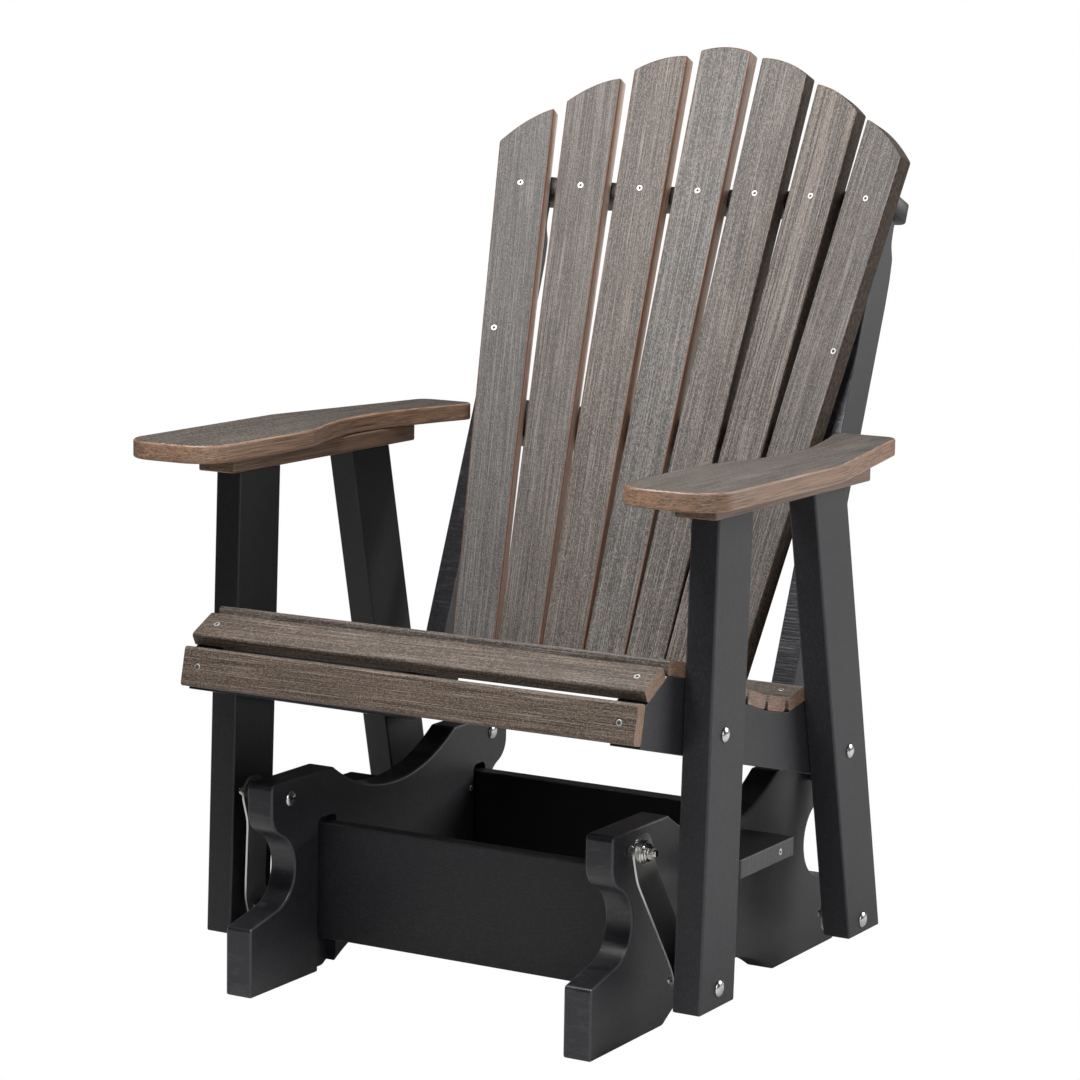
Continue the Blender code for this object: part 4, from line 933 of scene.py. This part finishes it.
def back_slat_outline(k):
    """Tapered sides and a crowned top that falls away from the middle of the back."""
    heights = [SLAT_TOP - ARCH_DROP * drops[abs(k)] for drops in (INNER_DROPS, OUTER_DROPS)]
    if k < 0:
        heights.reverse()
    left, right = [between(SLAT_WIDTHS, height) / 2 for height in heights]
    foot = SLAT_WIDTHS[0] / 2
    points = [(-foot, 0), (foot, 0)]
    for step in range(TOP_STEPS + 1):
        share = step / TOP_STEPS
        crown = CROWN_SHARE * SLAT_WIDTHS[1] * share * (1 - share) * 4
        height = heights[1] + share * (heights[0] - heights[1]) + crown
        points.append(slat_point(k, right - share * (left + right), height))
    return points


def stained_sides(normal):
    """-1 on the sides of a slat whose saw cut is dark."""
    return -1.0 if abs(normal.x) > SIDE_NORMAL else 0.0


sawn_sides = rim_below(0.94)
for k in range(-HALF_COUNT, HALF_COUNT + 1):
    slat = extruded(back_slat_outline(k), SLAT_DEPTH, BACK_SLAT_EDGE)
    show("back_slat_" + str(k + HALF_COUNT + 1), "_board", slat, back_slat_frame(k), "brown_lumber", ALONG_V,
         60 + k * 2.7, cut_faces=sawn_sides, tone=BACK_TONES[k + HALF_COUNT],
         edges=narrow_edges if k < 1 else stained_sides)

# Boards and posts behind the back
# Three black boards tie the fan together: their fronts follow the slats, their backs are straight. Two black
# posts, narrowed at the top, stand inside the seat rails and carry the highest board.

BOW_BACK = 0.06756
BOW_EDGE = 0.0015
BOW_SHARP = 35
# The three boards behind the slats are darkened as painted shade.
BOW_SHADE_LIGHTNESS = 0.2
UPRIGHT_THICKNESS = 0.03175
UPRIGHT_INNER = RAIL_INNER - GAP - UPRIGHT_THICKNESS
UPRIGHT_DEPTH = 0.05918
UPRIGHT_EDGE = 0.002
UPRIGHT_FOOT_Z = 0.28702
NECK_HEIGHT = 0.1143
NECK = ((0.0, 1.0), (0.3, 0.975), (0.5, 0.92), (0.545, 0.9), (0.58, 0.87), (0.61, 0.83), (0.64, 0.79),
        (0.68, 0.745), (0.73, 0.71), (0.8, 0.69), (1.0, 0.665))
BOW_BOARDS = (
    ("rear_seat_board", -0.11379, 0.02413, UPRIGHT_INNER - GAP, 0),
    ("lower_back_rail", 0.20828, 0.0508, UPRIGHT_INNER - GAP, 0),
    ("top_back_rail", TOP_RAIL_FOOT, 0.0254, 0.28702, 0.01905),
)


def slat_backs(height):
    """The (x, depth) corners of all slats' back faces at a height, from left to right."""
    corners = []
    for k in range(-HALF_COUNT, HALF_COUNT + 1):
        half = between(SLAT_WIDTHS, height) / 2
        for u in (-half, half):
            point = back_slat_frame(k) @ Vector((*slat_point(k, u, height), 0)) - BACK_ORIGIN
            corners.append((point.x, -point.dot(BACK_FORWARD)))
    return corners


def depth_at(corners, x):
    """The depth of the slats' backs at x, level beyond the outermost corner."""
    return float(np.interp(x, [c[0] for c in corners], [c[1] for c in corners]))


def bow_outline(top_height, half, corner):
    """A board whose front follows the slats' backs and whose back is straight."""
    corners = slat_backs(top_height)
    front = [(-half, depth_at(corners, -half))] + [c for c in corners if abs(c[0]) < half]
    front.append((half, depth_at(corners, half)))
    points = [(x, -depth - GAP) for x, depth in front]
    if corner:
        points += arc((half - corner, corner - BOW_BACK), corner, 0, -90, 10)
        points += arc((corner - half, corner - BOW_BACK), corner, 270, 180, 10)
    else:
        points += [(half, -BOW_BACK), (-half, -BOW_BACK)]
    return points[::-1]


for node, foot, thickness, half, corner in BOW_BOARDS:
    board = extruded(bow_outline(foot + thickness, half, corner), thickness, BOW_EDGE, 2, BOW_SHARP)
    place = axes_matrix(BACK_ORIGIN + BACK_UP * foot, (1, 0, 0), BACK_FORWARD, BACK_UP)
    show(node, "_board", board, place, "black_lumber", ALONG_U, 80 + foot, tone=black_tone(BOW_SHADE_LIGHTNESS))

front = depth_at(slat_backs(TOP_RAIL_FOOT), UPRIGHT_INNER) + GAP
post_top = TOP_RAIL_FOOT - GAP
post_outline = []
for depth in (front, front + UPRIGHT_DEPTH):
    drop = UPRIGHT_FOOT_Z - BACK_PLANE[1] + depth * math.sin(RECLINE)
    post_outline.append((depth, drop / math.cos(RECLINE)))
for rise, share in NECK:
    post_outline.append((front + share * UPRIGHT_DEPTH, post_top - (1 - rise) * NECK_HEIGHT))
post_outline.append((front, post_top))
for side, side_name in SIDES:
    origin = BACK_ORIGIN + Vector((near_x(side, UPRIGHT_INNER, UPRIGHT_THICKNESS), 0, 0))
    show(side_name + "_back_upright", "_post", extruded(post_outline, UPRIGHT_THICKNESS, UPRIGHT_EDGE, 3),
         axes_matrix(origin, -BACK_FORWARD, BACK_UP, (1, 0, 0)), "black_lumber", ALONG_V, 90 + side,
         cut_faces=routed_edge)

# Arms
# Each broad arm has a fully routed rim and narrows inside and outside towards the tail. It lies on a brown
# cleat, which lies on the tops of two legs.

CLEAT_FOOT = LEG_TOP_Z + GAP
CLEAT_THICKNESS = 0.02235
CLEAT_WIDTH = 0.05461
CLEAT_OVERHANG = 0.00889
CLEAT_YS = (-0.24638, 0.17907)
CLEAT_TONE = (0.6, 0.4, 0.7, 0.47)
ARM_FOOT = CLEAT_FOOT + CLEAT_THICKNESS + GAP
ARM_THICKNESS = 0.02286
ARM_ROUND = 0.00508
ARM_TONE = (0.6, 0.4, 0.7, 0.64)
ARM_YS = (-0.34544, 0.27432)
ARM_XS = (0.27813, 0.41656)
ARM_CORNER = 0.04699
ARM_STEPS = 16
ARM_BEND_Y = -0.01016
TAIL_OUTER = 0.36195
TAIL_CORNER = 0.02032
TAIL_START = 12
WAIST_START_Y = -0.11938
WAIST_DEPTH = 0.03632
WAIST = ((0.0, 0.0), (0.08, 0.24), (0.15, 0.5), (0.22, 0.7), (0.3, 0.87), (0.38, 0.97), (0.46, 1.0),
         (0.54, 0.95), (0.62, 0.83), (0.72, 0.6), (0.85, 0.25), (0.965, -0.08), (1.0, 0.2))


def curve(points, steps):
    """A smooth curve through all the given points."""
    ends = [points[0]] + list(points) + [points[-1]]
    result = []
    for number in range(1, len(ends) - 2):
        a, b, c, d = [np.array(point) for point in ends[number - 1:number + 3]]
        for step in range(steps):
            t = step / steps
            bent = 2 * b + (c - a) * t + (2 * a - 5 * b + 4 * c - d) * t ** 2
            result.append(tuple((bent + (3 * b - a - 3 * c + d) * t ** 3) / 2))
    return result + [points[-1]]


def arm_outline():
    """The right arm in plan."""
    inner, outer = ARM_XS
    points = quarter(inner, ARM_YS[0], ARM_CORNER, 180, ARM_STEPS)
    points += quarter(outer, ARM_YS[0], ARM_CORNER, 270, ARM_STEPS) + [(outer, ARM_BEND_Y)]
    points += arc((TAIL_OUTER - TAIL_CORNER, ARM_YS[1] - TAIL_CORNER), TAIL_CORNER, TAIL_START, 90, 12)
    for along, across in reversed(curve(WAIST, 4)):
        points.append((inner + across * WAIST_DEPTH, WAIST_START_Y + along * (ARM_YS[1] - WAIST_START_Y)))
    return points


routed_rim = rim_below(0.97)
for side, side_name in SIDES:
    near = near_x(side, LEG_OUTER + CLEAT_OVERHANG - CLEAT_WIDTH, CLEAT_WIDTH)
    arm = extruded(arm_outline() if side > 0 else mirrored(arm_outline()), ARM_THICKNESS, ARM_ROUND, 6)
    cleat = extruded(rectangle(near, near + CLEAT_WIDTH, *CLEAT_YS), CLEAT_THICKNESS, BLACK_EDGE)
    for node, board, foot, seed, tone in (
        (side_name + "_arm", arm, ARM_FOOT, 100 + side * 3, ARM_TONE),
        (side_name + "_arm_cleat", cleat, CLEAT_FOOT, 110 + side * 3, CLEAT_TONE),
    ):
        show(node, "_board", board, Matrix.Translation((0, 0, foot)), "brown_lumber", ALONG_V, seed,
             cut_faces=routed_rim, tone=tone, edges=plain)

# Bolts of the seat frame
# Dome heads show on the outsides of the legs. The rail bolts have nuts inside, and the lower pivots carry
# the hangers between washers and end in lock nuts.

RAIL_BOLT_RADIUS = 0.00406
RAIL_HEAD = (0.00914, 0.00432)
RAIL_NUT_RADIUS = 0.00737
RAIL_NUT_THICKNESS = 0.00711
RAIL_BOLT_END = 0.00356
RAIL_BOLTS = (("front", -0.19177, 0.381, RAIL_INNER), ("rear", 0.15977, 0.2987, UPRIGHT_INNER))
WIDE_WASHER_RADIUS = 0.01905
INNER_WASHER = 0.00203
LOWER_WASHERS = {"front": (WASHER_RADIUS, GAP + FLANGE_THICKNESS), "rear": (WIDE_WASHER_RADIUS, 0)}

for side, side_name in SIDES:
    for end, y, z, inner in RAIL_BOLTS:
        thread = RAIL_BOLT_END + RAIL_NUT_THICKNESS
        bolt = dome_shape(*RAIL_HEAD, RAIL_BOLT_RADIUS, LEG_OUTER - inner + GAP + thread, thread)
        nut = nut_shape(RAIL_BOLT_RADIUS, RAIL_NUT_RADIUS, GAP, RAIL_NUT_THICKNESS)
        shapes = [(bolt, along_x(side * LEG_OUTER, y, z, side)), (nut, along_x(side * inner, y, z, -side))]
        node = end + "_" + side_name + "_rail_bolt"
        hardware(node + "_stack", shapes, STEEL, "seat_frame", [node])
    for end, upper_y, swing in PIVOTS:
        y = upper_y + swing
        z = PIVOT_Z - math.sqrt(HANGER_LENGTH ** 2 - swing ** 2)
        radius, flange = LOWER_WASHERS[end]
        inner_low = LEG_GAP + STRAP_THICKNESS + flange + GAP
        nut_low = inner_low + INNER_WASHER
        spacers = (ring_shape(BOLT_RADIUS, radius, GAP, LEG_GAP - GAP),
                   ring_shape(BOLT_RADIUS, radius, inner_low, nut_low))
        pivot_stack(end + "_" + side_name + "_lower_pivot", LEG_THICKNESS,
                    along_x(side * LEG_OUTER, y, z, side), along_x(side * LEG_INNER, y, z, -side), spacers,
                    nut_low, "seat_frame")

# Screws
# Small stainless screws sit almost flush, each with a dark disc of painted shade in its recess: near both
# ends of each seat slat, in a row along the top board of the back, low on the two outer back slats, and in
# the base beside each cross board and in the edge of each stop board.

SCREW_RADIUS = 0.00401
SCREW_STEPS = 28
SCREW_PROUD = 0.00045
SCREW_SUNK = 0.002
RECESS_RADIUS = 0.00254
RECESS_DEPTH = 0.0004
RECESS_FILL = 0.0002
SEAT_SCREW_INSET = 0.0221
TOP_SCREW_HEIGHT = 0.56642
TOP_SCREW_DROP = 0.00094
SIDE_SCREW_HEIGHT = 0.34798
SIDE_SCREW_INSETS = {-1: 0.01778, 1: 0.01066}
STOP_SCREW_Y = 0.01829
BOARD_SCREWS = ((-0.13589, 0.16967), (0.19228, 0.16967))


def screw_head():
    """A screw head about +Z, a little proud of zero, with a rim, a shallow dish and a recess."""
    top = SCREW_PROUD
    rows = [(SCREW_RADIUS * 0.5, -SCREW_SUNK), (SCREW_RADIUS, -GAP), (SCREW_RADIUS, top * 0.5),
            (SCREW_RADIUS * 0.93, top), (SCREW_RADIUS * 0.55, top * 0.92), (RECESS_RADIUS, top * 0.85),
            (RECESS_RADIUS * 0.92, top - RECESS_DEPTH), (AXIS_RADIUS / 2, top - RECESS_DEPTH)]
    return turned(rows, SCREW_STEPS)


def recess_fill():
    """A dark disc in a screw's recess, as painted shade."""
    top = SCREW_PROUD * 0.8
    reach = RECESS_RADIUS * 0.97
    rows = [(AXIS_RADIUS / 2, top - RECESS_FILL), (reach, top - RECESS_FILL), (reach, top),
            (AXIS_RADIUS / 2, top)]
    return turned(rows, SCREW_STEPS)


# The recess paint is dark as painted shade.
RECESS_SHADE = cloudy_paint("recess", 900.0, (0.012, 0.011, 0.01), (0.06, 0.056, 0.052), 0.55, 0.2)
SCREW_STEEL = steel_paint("screw_steel", (0.7, 0.69, 0.67), 0.42, 0.05)
back_places = []
for k in range(-HALF_COUNT, HALF_COUNT + 1):
    u, v = slat_point(k, 0, TOP_SCREW_HEIGHT - TOP_SCREW_DROP * k * k)
    back_places.append(back_slat_frame(k) @ Matrix.Translation((u, v, SLAT_DEPTH)))
seat_places = []
board_places = []
for side, side_name in SIDES:
    k = side * HALF_COUNT
    reach = between(SLAT_WIDTHS, SIDE_SCREW_HEIGHT) / 2 - SIDE_SCREW_INSETS[side]
    u, v = slat_point(k, side * reach, SIDE_SCREW_HEIGHT)
    back_places.append(back_slat_frame(k) @ Matrix.Translation((u, v, SLAT_DEPTH)))
    for row in seat_rows:
        y, z = on_slat(row, SLAT_WIDTH / 2, 0)
        turn = Matrix.Rotation(row[-1], 4, "X")
        seat_places.append(Matrix.Translation((side * (LEG_INNER - SEAT_SCREW_INSET), y, z)) @ turn)
    for y, z in BOARD_SCREWS:
        board_places.append(along_x(side * PANEL_INNER, y, z, -side))
    board_places.append(along_x(side * STOP_FACE, STOP_SCREW_Y, STOP_FOOT + STOP_THICKNESS / 2, side))
for name, places, body in (("back", back_places, "seat_frame"), ("seat", seat_places, "seat_frame"),
                           ("base", board_places, "base")):
    hardware(name + "_screws", [(screw_head(), place) for place in places], SCREW_STEEL, body)
    hardware(name + "_screw_recesses", [(recess_fill(), place) for place in places], RECESS_SHADE, body)

# Stage
# A pale floor that shows white to the camera, soft lights from the right and from above, and a dim surround.

FLOOR_HALF = 6.0
FLOOR_COLOUR = (0.8, 0.8, 0.8, 1.0)
FLOOR_ROUGHNESS = 0.9
SURROUND_COLOUR = (0.9, 0.95, 1.0, 1.0)
SURROUND_STRENGTH = 0.03
CAMERA_TARGET = Vector((-0.0146, 0.00762 - REAR_OVERHANG, 0.55466))
CAMERA_ANGLES = (29.917, 8.763, 0.94)
CAMERA_DISTANCE = 4.47269
CAMERA_LENS = 117.06
PICTURE_SIZE = 1080
WHITE = (1.0, 1.0, 1.0, 1.0)
LIGHTS = (
    ("rear_right", (2.4, 2.4, 1.8), (0, 0, 0.5), 2.0, 99),
    ("front_right", (2.6, -2.2, 1.5), (0, 0, 0.5), 1.8, 37),
    ("above", (-0.2, -0.9, 2.1), (0, 0.3, 1.0), 0.7, 58),
    ("above_rear", (0.2, 1.6, 3.0), (0, 0, 0.6), 1.6, 23),
)


def white_to_camera(tree, surface, output):
    """Show plain white to camera rays and a node's surface to all others."""
    path = tree.nodes.new("ShaderNodeLightPath")
    white = tree.nodes.new("ShaderNodeEmission")
    white.inputs["Color"].default_value = WHITE
    mix = tree.nodes.new("ShaderNodeMixShader")
    tree.links.new(path.outputs["Is Camera Ray"], mix.inputs[0])
    tree.links.new(surface.outputs[0], mix.inputs[1])
    tree.links.new(white.outputs[0], mix.inputs[2])
    tree.links.new(mix.outputs[0], tree.nodes[output].inputs["Surface"])


floor_mesh = bpy.data.meshes.new("floor")
floor_corners = rectangle(-FLOOR_HALF, FLOOR_HALF, -FLOOR_HALF, FLOOR_HALF)
floor_mesh.from_pydata([(x, y, 0) for x, y in floor_corners], [], [(0, 1, 2, 3)])
floor = linked("floor", floor_mesh)
floor_paint = bpy.data.materials.new("floor")
floor_paint.use_nodes = True
surface = floor_paint.node_tree.nodes["Principled BSDF"]
surface.inputs["Base Color"].default_value = FLOOR_COLOUR
surface.inputs["Roughness"].default_value = FLOOR_ROUGHNESS
white_to_camera(floor_paint.node_tree, surface, "Material Output")
floor_mesh.materials.append(floor_paint)

scene = bpy.context.scene
scene.world = bpy.data.worlds.new("surround")
scene.world.use_nodes = True
surface = scene.world.node_tree.nodes["Background"]
surface.inputs["Color"].default_value = SURROUND_COLOUR
surface.inputs["Strength"].default_value = SURROUND_STRENGTH
white_to_camera(scene.world.node_tree, surface, "World Output")

for name, place, aim, size, power in LIGHTS:
    data = bpy.data.lights.new(name, "AREA")
    data.size = size
    data.energy = power
    light = linked(name, data)
    light.location = place
    light.rotation_euler = (Vector(aim) - Vector(place)).to_track_quat("-Z", "Y").to_euler()

azimuth, elevation, roll = [math.radians(angle) for angle in CAMERA_ANGLES]
level = math.cos(elevation)
back = Vector((math.sin(azimuth) * level, -math.cos(azimuth) * level, math.sin(elevation)))
right = Vector((math.cos(azimuth), math.sin(azimuth), 0))
up = back.cross(right)
rolled_right = right * math.cos(roll) + up * math.sin(roll)
rolled_up = up * math.cos(roll) - right * math.sin(roll)
camera_data = bpy.data.cameras.new("camera")
camera_data.sensor_width = 36
camera_data.lens = CAMERA_LENS
camera_data.clip_end = 50
scene.camera = linked("camera", camera_data)
scene.camera.matrix_world = axes_matrix(CAMERA_TARGET + back * CAMERA_DISTANCE, rolled_right, rolled_up, back)
scene.render.resolution_x = PICTURE_SIZE
scene.render.resolution_y = PICTURE_SIZE
scene.view_settings.view_transform = "Standard"
